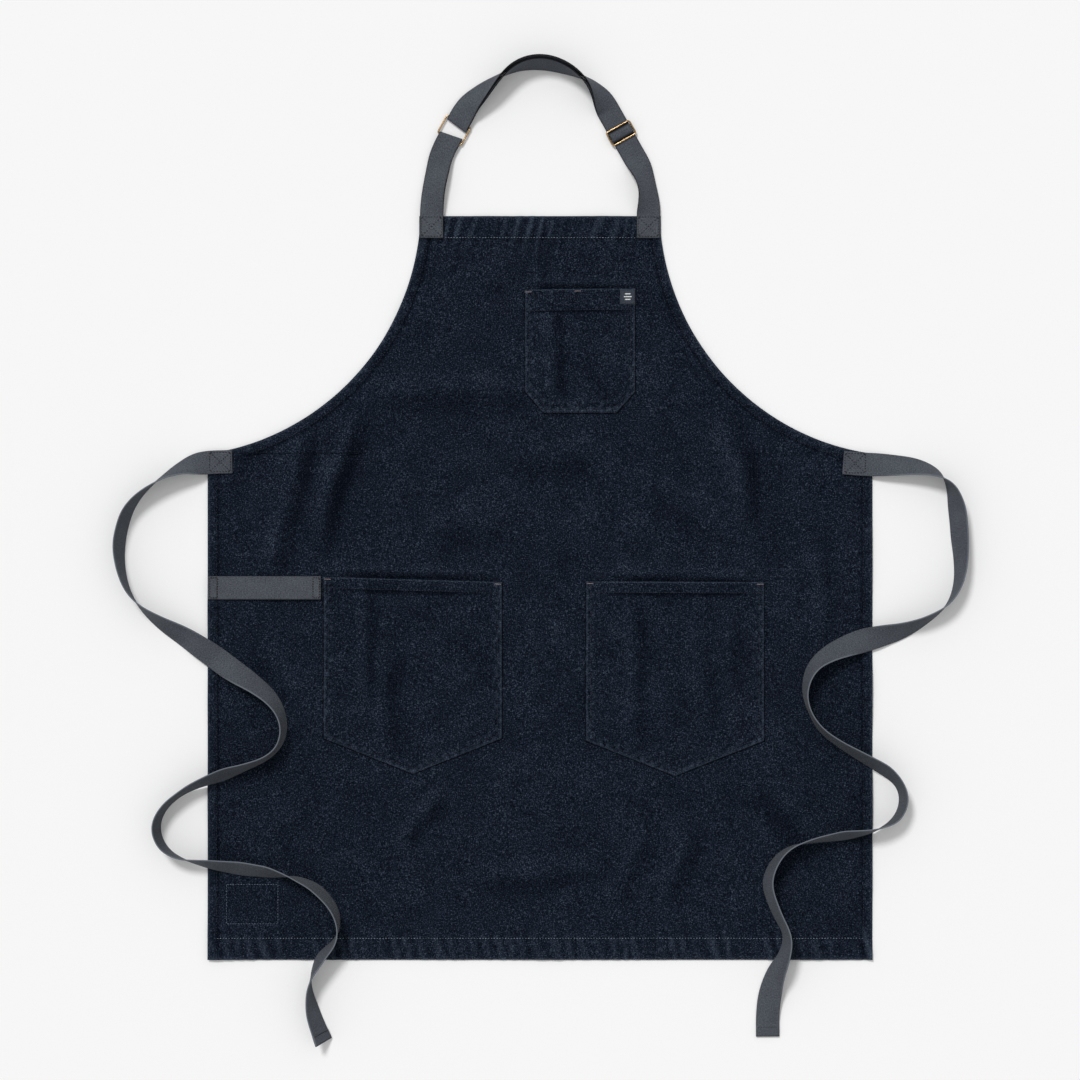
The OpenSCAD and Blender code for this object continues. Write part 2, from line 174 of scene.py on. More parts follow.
# Soft folds: both ends in mm, half width, height
FOLDS = [
    (-206, 96, -243, -42, 9, 3.4), (-226, 60, -262, -30, 12, 1.4), (-258, 82, -294, -60, 10, 2.4),
    (-318, 66, -342, 30, 5, 1.8), (-3, 305, -1, 95, 7, 1.5), (194, 106, 222, 10, 12, 1.8),
    (218, 58, 221, -22, 9, 1.8), (-112, -310, -150, -358, 8, 2.2), (109, -358, 78, -428, 9, 1.6),
    (163, -348, 133, -428, 9, 1.6), (-66, -398, 66, -391, 10, 1.5), (-176, 128, -10, 138, 14, 1.8),
    (-226, -66, -50, -71, 5, 2.4), (56, -72, 236, -73, 5, 2.2), (-6, 245, 100, 246, 4.5, 2.0),
    (-300, -150, -262, -200, 10, 1.6), (250, -300, 300, -360, 12, 1.4), (-30, 60, 60, 66, 16, 1.6),
    (120, 30, 200, -20, 14, 1.4), (-120, -20, -40, -10, 14, 1.3), (300, -40, 306, -150, 9, 1.4),
]


def folded(x, y, folds):
    """(height, shade) of soft folds. shade is painted light and shade: the cloth is painted paler on a
    fold's side toward the key light and darker in the crease on its lower right, away from the key light."""
    total, shade = np.zeros(np.shape(x)), np.zeros(np.shape(x))
    for x0, y0, x1, y1, width, height in folds:
        dx, dy = x1 - x0, y1 - y0
        long = math.hypot(dx, dy)
        t = ((x - x0) * dx + (y - y0) * dy) / long ** 2
        off = ((x - x0) * dy - (y - y0) * dx) / long
        # the sign turns each fold so that its lower right, away from the key light, takes the painted shade
        off = (off + 0.16 * width * np.sin(5 * t + x0)) * np.sign(0.5 * dy + 0.85 * dx)
        rise = height * ease((t + 0.15) / 0.35) * ease((1.15 - t) / 0.35)
        total = total + rise * bump(off, width)
        shade = shade + rise * (0.5 * bump(off + 0.3 * width, width) - bump(off - 1.4 * width, 0.9 * width))
    return total, shade


def pucker(along, inward, depth, pitch, seed, reach):
    """Ridges across a hem, where the stitches draw the cloth in."""
    uneven = waves(along, 0 * along, seed, 5, 40, 150)
    strength = 0.55 + 0.45 * waves(along, 0 * along, seed + 1, 5, 25, 90)
    ridge = np.sin(2 * math.pi * (along + 0.25 * inward) / pitch + 2.2 * uneven)
    fade = np.where(inward < depth, 1, np.exp(-np.maximum(inward - depth, 0) / reach))
    return np.clip(strength, 0.1, 1.3) * ridge * fade


def panel_shape(x, y):
    """(bottom surface, top surface, wear, wash) of the body panel, in mm."""
    side, along = edge_distance(x, y)
    from_top, from_bottom = TOP - y, y - BOTTOM
    broad, small = waves(x, y, 3, 16, 70, 170), waves(x, y, 4, 14, 26, 60)
    folds, shade = folded(x, y, FOLDS)
    lift = 0.4 + 1.5 * broad + 0.35 * small + 2.3 * folds
    # sewn places lie flat
    waist_patch = bump(np.hypot(np.abs(x) - 347, y - 50), 26)
    neck_patch = bump(np.hypot(np.abs(x) - NECK_X, y - TOP + 12), 30)
    draw = (
        0.95 * pucker(x, from_bottom, END_HEM, 14.5, 11, 14)
        + 0.85 * pucker(x, from_top, END_HEM, 12.5, 21, 16)
        + 0.34 * pucker(along + 7 * (x > 0), side, SIDE_HEM, 11, 31, 9)
    )
    height = (lift + draw) * np.clip(1 - waist_patch - neck_patch, 0, 1)
    base = 0.5 * (height + np.sqrt(height ** 2 + 0.35))
    past = np.array([side - SIDE_HEM, from_top - END_HEM, from_bottom - END_HEM])
    hem = ease(0.5 - past.min(axis=0) / STEP)
    row = np.abs(past + ROW_INSET).min(axis=0)
    edge = np.minimum.reduce([side, from_top, from_bottom])
    thick = CLOTH + HEM_EXTRA * hem - 0.4 * bump(row, 0.9) * hem
    half = thick / 2 * rounded(edge, 1.3, 0.04)
    middle = base + thick / 2
    wear_and_edge_light = 0.25 * bump(edge - 1.2, 1.2) + (0.22 * hem + 0.08) * np.clip(draw, 0, 1)
    # The wash values hold painted light and shade: the folds' painted light and shade, and painted shade in
    # dark lines along the hem stitch rows and beside the side hems' inner edges, where their shadows fall;
    # the wave and pucker terms are wash mottling and wear.
    wash_and_shade = 0.045 * shade + 0.010 * broad + 0.006 * small + 0.05 * draw
    wash_and_shade = wash_and_shade - 0.10 * bump(row, 1.1) * hem - 0.12 * bump(side - SIDE_HEM - 0.6, 1.3)
    return middle - half, middle + half, wear_and_edge_light, wash_and_shade


def panel_top(x, y):
    """Height of what lies at a place: the panel's top, or the floor beside it."""
    inside = (np.abs(x) <= half_width(y)) & (y >= BOTTOM) & (y <= TOP)
    return np.where(inside, panel_shape(x, y)[1], 0.0)


# ---- mesh making

def make_object(name, verts, faces, material, attributes=None, uv=None):
    """verts in mm; uv and attributes are one value for each vertex."""
    mesh = bpy.data.meshes.new(name)
    mesh.from_pydata((np.asarray(verts) * MM).tolist(), [], [list(map(int, f)) for f in faces])
    mesh.materials.append(material)
    mesh.polygons.foreach_set("use_smooth", [True] * len(mesh.polygons))
    for key, values in (attributes or {}).items():
        mesh.attributes.new(key, "FLOAT", "POINT").data.foreach_set("value", np.asarray(values, np.float32))
    if uv is not None:
        loops = np.zeros(len(mesh.loops), np.int32)
        mesh.loops.foreach_get("vertex_index", loops)
        mesh.uv_layers.new(name="weave").data.foreach_set("uv", np.asarray(uv, np.float32)[loops].ravel())
    mesh.update()
    made = bpy.data.objects.new(name, mesh)
    bpy.context.scene.collection.objects.link(made)
    return made


def stands_for(piece, slot, *nodes):
    """The piece replaces the CAD nodes that it stands for; slot is not used."""
    if nodes:
        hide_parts(*nodes)


def settle(piece, body, slot, *nodes):
    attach(piece, body)
    stands_for(piece, slot, *nodes)


def grid_faces(rows, columns, start=0, flip=False):
    a = (np.arange(rows - 1)[:, None] * columns + np.arange(columns - 1)[None, :]).ravel() + start
    quads = np.stack([a, a + 1, a + columns + 1, a + columns], axis=1)
    return quads[:, ::-1] if flip else quads


def rim_faces(rows, columns, count):
    """Quads that join the edge of a grid to the same edge of a second grid count vertices on."""
    ring = np.concatenate([
        np.arange(columns), (np.arange(1, rows) * columns + columns - 1),
        (rows - 1) * columns + np.arange(columns - 2, -1, -1), np.arange(rows - 2, 0, -1) * columns,
    ])
    after = np.roll(ring, -1)
    return np.stack([ring, ring + count, after + count, after], axis=1)


def two_sided(name, x, y, low, high, materials, wear_and_edge_light, wash_and_shade):
    """A closed piece of cloth over a grid of rows that run along +X and go up in Y.

    wear and wash colour the top: wear bleaches the cloth, wash makes it lighter or darker, partly as painted
    light and shade. The underside takes a painted shade, which darkens the sides of the cut edges."""
    rows, columns = x.shape
    count = rows * columns
    verts = np.concatenate([np.stack([x, y, z], -1).reshape(-1, 3) for z in (high, low)])
    top = grid_faces(rows, columns)
    under = grid_faces(rows, columns, count, flip=True)
    rim = rim_faces(rows, columns, count)
    # painted shade: the under points' wash of -0.3 darkens the sides of the cut edges and the underside
    made = make_object(
        name, verts, np.concatenate([top, under, rim]), materials[0],
        {"wear_and_edge_light": np.concatenate([wear_and_edge_light.ravel(), 0 * wear_and_edge_light.ravel()]),
         "wash_and_shade": np.concatenate([wash_and_shade.ravel(), 0 * wash_and_shade.ravel() - 0.3])},
    )
    made.data.materials.append(materials[1])
    made.data.polygons.foreach_set(
        "material_index", [0] * len(top) + [1] * len(under) + [0] * len(rim))
    return made


# ---- ribbons of webbing

WEB_SIDES = 13        # points across one face of a strip


def catmull(points, per):
    """A line through points with per samples between each two: x and y curve, the rest runs straight."""
    p = np.asarray(points, float)
    p = np.vstack([2 * p[0] - p[1], p, 2 * p[-1] - p[-2]])
    out = []
    for a, b, c, d in zip(p, p[1:], p[2:], p[3:]):
        for t in np.arange(per) / per:
            q = 0.5 * (2 * b + (c - a) * t + (2 * a - 5 * b + 4 * c - d) * t ** 2
                       + (3 * b - a - 3 * c + d) * t ** 3)
            q[2:] = b[2:] + (c[2:] - b[2:]) * t
            out.append(q)
    out.append(p[-2])
    return np.array(out)


def soften(values, radius):
    """Runs a soft window along a line of values, ends kept."""
    k = np.arange(-3 * radius, 3 * radius + 1)
    window = np.exp(-(k / radius) ** 2 / 2)
    window /= window.sum()
    padded = np.concatenate([2 * values[0] - values[3 * radius:0:-1], values,
                             2 * values[-1] - values[-2:-3 * radius - 2:-1]])
    return np.array([np.convolve(padded[:, i], window, "valid") for i in range(values.shape[1])]).T


def even(route, step):
    """The route's points again at equal steps along its plan."""
    s = run_length(route[:, :2])
    at = np.linspace(0, s[-1], max(2, int(round(s[-1] / step)) + 1))
    return np.column_stack([np.interp(at, s, values) for values in route.T])


def lay_ribbon(route, stack=WEB, shift=0.0):
    """route: x, y, tilt in degrees and height of the lowest edge. Gives middle points and across vectors."""
    px, py = unit(np.gradient(route[:, :2], axis=0)).T
    sin, cos = np.sin(np.radians(route[:, 2])), np.cos(np.radians(route[:, 2]))
    across = np.column_stack([-py * cos, px * cos, sin])
    face = np.column_stack([py * sin, -px * sin, cos])
    z = route[:, 3] + WEB_WIDTH / 2 * np.abs(sin) + stack / 2 * np.abs(cos)
    middle = np.column_stack([route[:, :2], z]) + shift * face
    return middle, across


def ribbon_section(width, thick):
    """(across, out of face) of a closed section with rounded edges and a fine rib at each edge."""
    u = np.linspace(-1, 1, WEB_SIDES)
    body = width / 2 * np.sin(u * math.pi / 2)
    edge = np.abs(body) / (width / 2)
    half = thick / 2 * np.sqrt(np.clip(1 - ((edge - 0.96) / 0.05).clip(0) ** 2, 0.08, 1))
    half = half * (1 + 0.10 * bump(edge - 0.90, 0.035))
    return np.concatenate([np.stack([body, -half], 1), np.stack([body[::-1], half[::-1]], 1)])


def sweep(name, middle, across, material, width=WEB_WIDTH, thick=WEB, raised_only=False):
    """A closed strip of webbing along middle, its width along across. thick may change along it.

    Its edges take the edge colour: both of them, or only where an edge stands up toward the light, which
    makes the edge colour a painted highlight."""
    tangent = unit(np.gradient(middle, axis=0))
    face = unit(np.cross(tangent, across))
    wide = np.cross(face, tangent)
    thick = np.broadcast_to(thick, (len(middle),))
    sections = np.array([ribbon_section(width, t) for t in thick])
    n = sections.shape[1]
    verts = (middle[:, None] + wide[:, None] * sections[:, :, :1] + face[:, None] * sections[:, :, 1:])
    verts[:, :, 2] += np.maximum(0.03 - verts[:, :, 2].min(axis=1), 0)[:, None]    # never under the floor
    rings = len(middle)
    a, b = ((np.arange(rings - 1)[:, None] * n + (np.arange(n) + k) % n).ravel() for k in (0, 1))
    sides = np.stack([a, b, b + n, a + n], 1)
    caps = []
    for k in range(n // 2 - 1):
        caps.append([k, n - 1 - k, n - 2 - k, k + 1])
        caps.append([(rings - 1) * n + i for i in (k, k + 1, n - 2 - k, n - 1 - k)])
    uv = np.stack(np.broadcast_arrays(sections[:, :, 0], run_length(middle)[:, None]), -1)
    edge = np.abs(sections[:, :, 0]) / (width / 2)
    wear_and_edge_light = ease((edge - 0.955) / 0.03)
    # painted highlight: with raised_only the lighter edge colour goes only on the edge that stands up toward
    # the light
    if raised_only:
        wear_and_edge_light = ease((edge - 0.93) / 0.05) * ease((wide[:, None, 2] * np.sign(sections[:, :, 0]) - 0.2) / 0.4)
    return make_object(name, verts.reshape(-1, 3), list(sides) + caps, material,
                       {"wear_and_edge_light": wear_and_edge_light.ravel()}, uv.reshape(-1, 2))


# ---- materials


class Finish:
    """A procedural material, with short names for the nodes that the finishes use."""

    def __init__(self, name, roughness, specular, sheen=0.0, metallic=0.0):
        self.material = bpy.data.materials.new(name)
        self.material.use_nodes = True
        self.tree = self.material.node_tree
        self.shader = self.tree.nodes["Principled BSDF"].inputs
        plain = {"Roughness": roughness, "Specular IOR Level": specular, "Sheen Weight": sheen,
                 "Sheen Roughness": 0.45, "Metallic": metallic}
        for key, value in plain.items():
            self.shader[key].default_value = value

    def add(self, kind, inputs, **settings):
        """A node with plain settings; inputs gives a socket or a value for each input."""
        made = self.tree.nodes.new(kind)
        for key, value in settings.items():
            setattr(made, key, value)
        for key, value in inputs.items():
            if isinstance(value, bpy.types.NodeSocket):
                self.tree.links.new(value, made.inputs[key])
            else:
                made.inputs[key].default_value = value
        return made

    def maths(self, operation, a, b=0.0):
        return self.add("ShaderNodeMath", {0: a, 1: b}, operation=operation).outputs[0]

    def times(self, a, b):
        return self.maths("MULTIPLY", a, b)

    def plus(self, a, b):
        return self.maths("ADD", a, b)

    def total(self, *shares):
        """The sum of values, each times its share."""
        out = 0.0
        for value, share in shares:
            out = self.plus(self.times(value, share), out)
        return out

    def scaled(self, where, scale):
        return self.add("ShaderNodeVectorMath", {0: where, 1: scale}, operation="MULTIPLY").outputs[0]

    def place(self, scale=(1, 1, 1)):
        """The piece's own place in millimetres, times scale."""
        where = self.add("ShaderNodeTexCoord", {}).outputs["Object"]
        return self.scaled(where, tuple(s / MM for s in scale))

    def weave(self, scale=(1, 1, 1)):
        """Across and along a strip of webbing, in millimetres, times scale."""
        return self.scaled(self.add("ShaderNodeUVMap", {}, uv_map="weave").outputs[0], scale)

    def painted(self, name):
        """A value that the mesh holds for each of its points."""
        return self.add("ShaderNodeAttribute", {}, attribute_name=name).outputs["Fac"]

    def noise(self, vector, scale, detail=2.0, rough=0.5):
        values = {"Vector": vector, "Scale": scale, "Detail": detail, "Roughness": rough}
        return self.add("ShaderNodeTexNoise", values).outputs[0]

    def stretch(self, value, low, high):
        return self.add("ShaderNodeMapRange", {0: value, 1: low, 2: high}).outputs[0]

    def stripes(self, vector, direction, pitch, wobble=0.0):
        """A sine across direction, from -1 to 1, one turn for each pitch."""
        turns = tuple(2 * math.pi / pitch * d for d in direction)
        along = self.add("ShaderNodeVectorMath", {0: vector, 1: turns}, operation="DOT_PRODUCT")
        return self.maths("SINE", self.plus(along.outputs["Value"], wobble))

    def ramp(self, value, *stops):
        made = self.add("ShaderNodeValToRGB", {0: value})
        points = made.color_ramp.elements
        while len(points) < len(stops):
            points.new(0.5)
        for point, (at, colour) in zip(points, stops):
            point.position = at
            point.color = (*colour, 1)
        return made.outputs[0]

    def mixed(self, factor, a, colour):
        inputs = {0: factor, 6: a, 7: (*colour, 1)}
        return self.add("ShaderNodeMix", inputs, data_type="RGBA").outputs[2]

    def done(self, colour, height, strength, depth_mm):
        """The finished material: its colour, and a relief of some depth."""
        self.tree.links.new(colour, self.shader["Base Color"])
        relief = {"Strength": strength, "Distance": depth_mm * MM, "Height": height}
        self.tree.links.new(self.add("ShaderNodeBump", relief).outputs[0], self.shader["Normal"])
        return self.material


def denim_material(name, dark, middle, light, worn):
    """Twill of dark warp over a light weft, with flecks, slubs, mottling and wear, and the painted light and
    shade that the wash values carry.
    """
    f = Finish(name, 0.95, 0.015)
    place = f.place()
    twill = f.stripes(place, (0.82, 0.57, 0), 1.15, f.times(f.noise(place, 0.35), 5.0))
    warp = f.noise(f.place((0.95, 0.36, 1)), 1.0, 2.5, 0.65)
    weft = f.noise(f.place((0.40, 0.95, 1)), 1.0, 2.0, 0.6)
    speck = f.noise(place, 0.85, 2.0, 0.6)
    mottle = f.noise(place, 0.03, 4.0, 0.55)
    fleck = f.total(
        (f.stretch(warp, 0.38, 0.68), 0.30), (f.stretch(weft, 0.42, 0.70), 0.26),
        (f.stretch(speck, 0.40, 0.72), 0.42), (twill, 0.05), (f.plus(mottle, -0.5), 0.20),
        (f.painted("wash_and_shade"), 1.0),
    )
    cloth = f.ramp(fleck, (0.12, dark), (0.44, middle), (0.92, light))
    wear_and_edge_light = f.times(f.painted("wear_and_edge_light"), f.stretch(speck, 0.30, 0.62))
    height = f.total((twill, 0.30), (warp, 0.9), (weft, 0.6))
    return f.done(f.mixed(wear_and_edge_light, cloth, worn), height, 0.6, 0.3)


def webbing_material(name, edge):
    """Grey cotton webbing: cords along it, fine ribs across it, its edges in the colour edge, which for the
    ties is a painted highlight and for the neck straps a painted shade.
    """
    f = Finish(name, 0.85, 0.12, sheen=0.04)
    place = f.weave()
    wobble = f.times(f.noise(place, 0.5), 2.0)
    cords = f.stripes(place, (1, 0, 0), 1.27, wobble)
    ribs = f.stripes(place, (0.35, 1, 0), 0.95, wobble)
    grain = f.noise(f.weave((0.95, 0.6, 1)), 1.0, 3.0, 0.6)
    cloud = f.noise(f.weave((0.05, 0.03, 1)), 1.0, 3.0, 0.6)
    tone = f.total((f.stretch(grain, 0.30, 0.70), 0.62), (ribs, 0.08), (cords, 0.05), (cloud, 0.42))
    cloth = f.ramp(tone, (0.05, (0.015, 0.018, 0.024)), (0.95, (0.114, 0.126, 0.148)))
    height = f.total((ribs, 0.5), (cords, 0.4), (grain, 0.8))
    return f.done(f.mixed(f.painted("wear_and_edge_light"), cloth, edge), height, 0.5, 0.2)


def thread_material(name, dark, light):
    f = Finish(name, 0.6, 0.25, sheen=0.05)
    place = f.place()
    ply = f.stripes(place, (0.7, 0.7, 0.2), 0.35)
    tone = f.total((ply, 0.2), (f.noise(place, 0.8), 1.0))
    return f.done(f.ramp(tone, (0.2, dark), (0.8, light)), ply, 0.4, 0.1)


def brass_material(name, dull, bright):
    """Brass wire, duller and darker in cloudy patches, with fine rub marks."""
    f = Finish(name, 0.28, 0.5, metallic=1.0)
    place = f.place()
    rub = f.noise(place, 5.0, 3)
    f.tree.links.new(f.plus(f.times(rub, 0.22), 0.14), f.shader["Roughness"])
    return f.done(f.ramp(f.noise(place, 0.35, 3), (0.3, dull), (0.65, bright)), rub, 0.15, 0.05)


def label_material(name, dark, light, pitch):
    """Woven label: fine ribs both ways."""
    f = Finish(name, 0.8, 0.15, sheen=0.03)
    place = f.place()
    height = f.times(f.stripes(place, (1, 0, 0), pitch), f.stripes(place, (0, 1, 0), pitch * 0.8))
    tone = f.total((height, 0.25), (f.noise(place, 0.9, 3), 1.0))
    return f.done(f.ramp(tone, (0.2, dark), (0.9, light)), height, 0.5, 0.1)


denim = denim_material("denim", (0.0017, 0.0028, 0.0058), (0.0092, 0.0135, 0.0238), (0.078, 0.105, 0.148),
                       (0.085, 0.116, 0.165))
denim_back = denim_material("denim_back", (0.08, 0.10, 0.14), (0.20, 0.22, 0.27), (0.42, 0.45, 0.50),
                            (0.5, 0.52, 0.55))
grey_web = webbing_material("webbing", (0.030, 0.034, 0.042))
# painted highlight: the ties' lighter edge colour, laid only on edges that stand up
tie_web = webbing_material("tie_webbing", (0.135, 0.152, 0.180))
# painted shade: the neck straps' near-black edges stand in for the shade in the gap between their two layers
neck_web = webbing_material("neck_webbing", (0.003, 0.003, 0.004))
pale_thread = thread_material("topstitch", (0.09, 0.12, 0.17), (0.34, 0.40, 0.49))
blue_thread = thread_material("topstitch_blue", (0.05, 0.07, 0.11), (0.20, 0.25, 0.33))
navy_thread = thread_material("topstitch_navy", (0.003, 0.004, 0.007), (0.030, 0.042, 0.066))
grey_thread = thread_material("web_thread", (0.003, 0.003, 0.004), (0.014, 0.015, 0.018))
pink_thread = thread_material("bartack", (0.10, 0.08, 0.082), (0.38, 0.31, 0.32))
brown_thread = thread_material("loop_thread", (0.003, 0.002, 0.002), (0.026, 0.014, 0.017))
brass = brass_material("brass", (0.27, 0.17, 0.08), (0.51, 0.35, 0.19))
# painted shade: a darkened copy of the brass, for the slide's centre bar under the strap
shaded_brass = brass_material("brass_shaded", (0.03, 0.02, 0.01), (0.10, 0.07, 0.04))
dark_label = label_material("label_dark", (0.018, 0.023, 0.032), (0.062, 0.076, 0.102), 0.5)
light_label = label_material("label_mark", (0.50, 0.51, 0.52), (0.88, 0.89, 0.90), 0.4)
pale_label = label_material("label_cloth", (0.42, 0.42, 0.40), (0.78, 0.78, 0.74), 0.6)

# ---- waist ties

TIE_HEM = 11.0
TIE_CLEAR = 0.15

# The ties' routes, as in part.scad: x and y, tilt in degrees
LEFT_TIE = [
    (-335, 51, 0), (-362, 50, 0), (-386, 45, 51), (-406, 36, 76), (-424, 24, 90), (-439, 10, 102),
    (-450, -8, 112), (-457, -38, 114), (-455, -66, 103), (-447, -90, 93), (-433, -108, 78),
    (-412, -124, 55), (-387, -139, 32), (-362, -156, 10), (-337, -174, -18), (-312, -190, -46),
    (-294, -204, -58), (-282, -221, -72), (-278, -240, -79), (-284, -259, -82), (-299, -272, -79),
    (-321, -281, -71), (-344, -289, -57), (-368, -298, -68), (-391, -310, -78), (-409, -326, -78),
    (-417, -346, -75), (-410, -367, -80), (-391, -380, -92), (-360, -386, -116), (-325, -391, -131),
    (-294, -395, -122), (-264, -402, -86), (-240, -415, -72), (-221, -440, -78), (-221, -467, -96),
    (-239, -489, -114), (-250, -515, -90), (-247, -546, -60), (-235, -580, -48),
]
RIGHT_TIE = [
    (330, 50, 0), (356, 48, 0), (383, 47, -26), (410, 45, -46), (432, 38, -70), (446, 24, -104),
    (453, 0, -131), (456, -31, -131), (457, -60, -117), (453, -85, -102), (441, -106, -85),
    (418, -122, -68), (393, -133, -45), (366, -140, -18), (338, -148, 26), (316, -157, 47), (299, -169, 64),
    (290, -185, 76), (288, -204, 85), (294, -223, 88), (306, -241, 79), (326, -256, 74), (350, -270, 66),
    (374, -284, 60), (390, -299, 73), (395, -318, 75), (386, -338, 82), (364, -349, 101), (330, -355, 119),
    (298, -360, 106), (272, -368, 91), (255, -384, 78), (247, -408, 69), (256, -437, 70), (268, -463, 75),
    (265, -485, 66), (256, -507, 44), (250, -531, 15), (248, -553, 3), (248, -575, 0),
]


def on_what_is_below(route):
    """Adds the height of the lowest edge, so that the ribbon lies on the panel and the floor."""
    plan = unit(np.gradient(route[:, :2], axis=0))
    reach = np.cos(np.radians(route[:, 2])) * WEB_WIDTH / 2
    heights = []
    for side in (-1, -0.5, 0, 0.5, 1):
        x = route[:, 0] - plan[:, 1] * reach * side
        y = route[:, 1] + plan[:, 0] * reach * side
        heights.append(panel_top(x, y))
    height = np.max(heights, axis=0)
    wide = 5
    padded = np.pad(height, wide, "edge")
    grown = np.max([np.roll(padded, k)[wide:-wide] for k in range(-wide, wide + 1)], axis=0)
    return np.column_stack([route, soften(grown[:, None], 3)[:, 0] + TIE_CLEAR])


def make_tie(name, points):
    """A tie along its route, its far end turned back once and sewn."""
    route = soften(even(catmull(points, 12), 2.5), 2)
    middle, across = lay_ribbon(on_what_is_below(route))
    s = run_length(middle)
    thick = WEB + ease((s - s[-1] + TIE_HEM) / STEP)
    tie = sweep(name, middle, across, tie_web, thick=thick, raised_only=True)
    settle(tie, "apron", "webbing", name)
    return middle, across


left_middle, left_across = make_tie("waist_tie_left", LEFT_TIE)
right_middle, right_across = make_tie("waist_tie_right", RIGHT_TIE)

# ---- body panel


def panel_grid():
    """Rows and columns that are close together at the hems and along the armholes."""
    end = np.array([0, 0.5, 1.2, 3, 6, 9, 12, 15, 18, 20.5, 22.2, 23.0, 23.5, 24.1, 24.8, 25.6, 27, 30])
    edge = np.array([0, 0.45, 1.0, 1.8, 3.0, 4.8, 6.6, 8.0, 8.9, 9.5, 10.1, 10.8, 11.6, 13.0, 16.0])
    y = np.concatenate([
        BOTTOM + end, np.linspace(BOTTOM + 34, WAIST - 6, 108), np.linspace(WAIST - 3, WAIST, 5)[:-1],
        WAIST + 150 * np.linspace(0, 1, 60)[0:-1] ** 1.8, np.linspace(WAIST + 150, TOP - 33, 24),
        (TOP - end)[::-1],
    ])
    half = half_width(y)
    slope = np.gradient(half, y)
    lean = np.minimum(np.sqrt(1 + slope ** 2), 3.5)
    inner = np.linspace(-1, 1, 168)
    rows = []
    for h, k in zip(half, lean):
        band = edge * min(k, h / 60)
        rows.append(np.concatenate([-h + band, inner[1:-1] * (h - band[-1]), (h - band)[::-1]]))
    x = np.array(rows)
    return x, np.repeat(y[:, None], x.shape[1], 1)


def cut_cloth(name, surfaces):
    """A cut piece of denim; surfaces are x, y, low, high, wear and wash, in mm; the wash values also carry
    painted light and shade.
    """
    made = two_sided(name, *surfaces[:4], (denim, denim_back), *surfaces[4:])
    settle(made, "apron", "denim", name)


def make_panel():
    x, y = panel_grid()
    cut_cloth("body_panel", (x, y, *panel_shape(x, y)))


make_panel()

# ---- pockets

SEWN_ROWS = (1.6, 6.0)    # rows of stitches, in from a pocket's edge


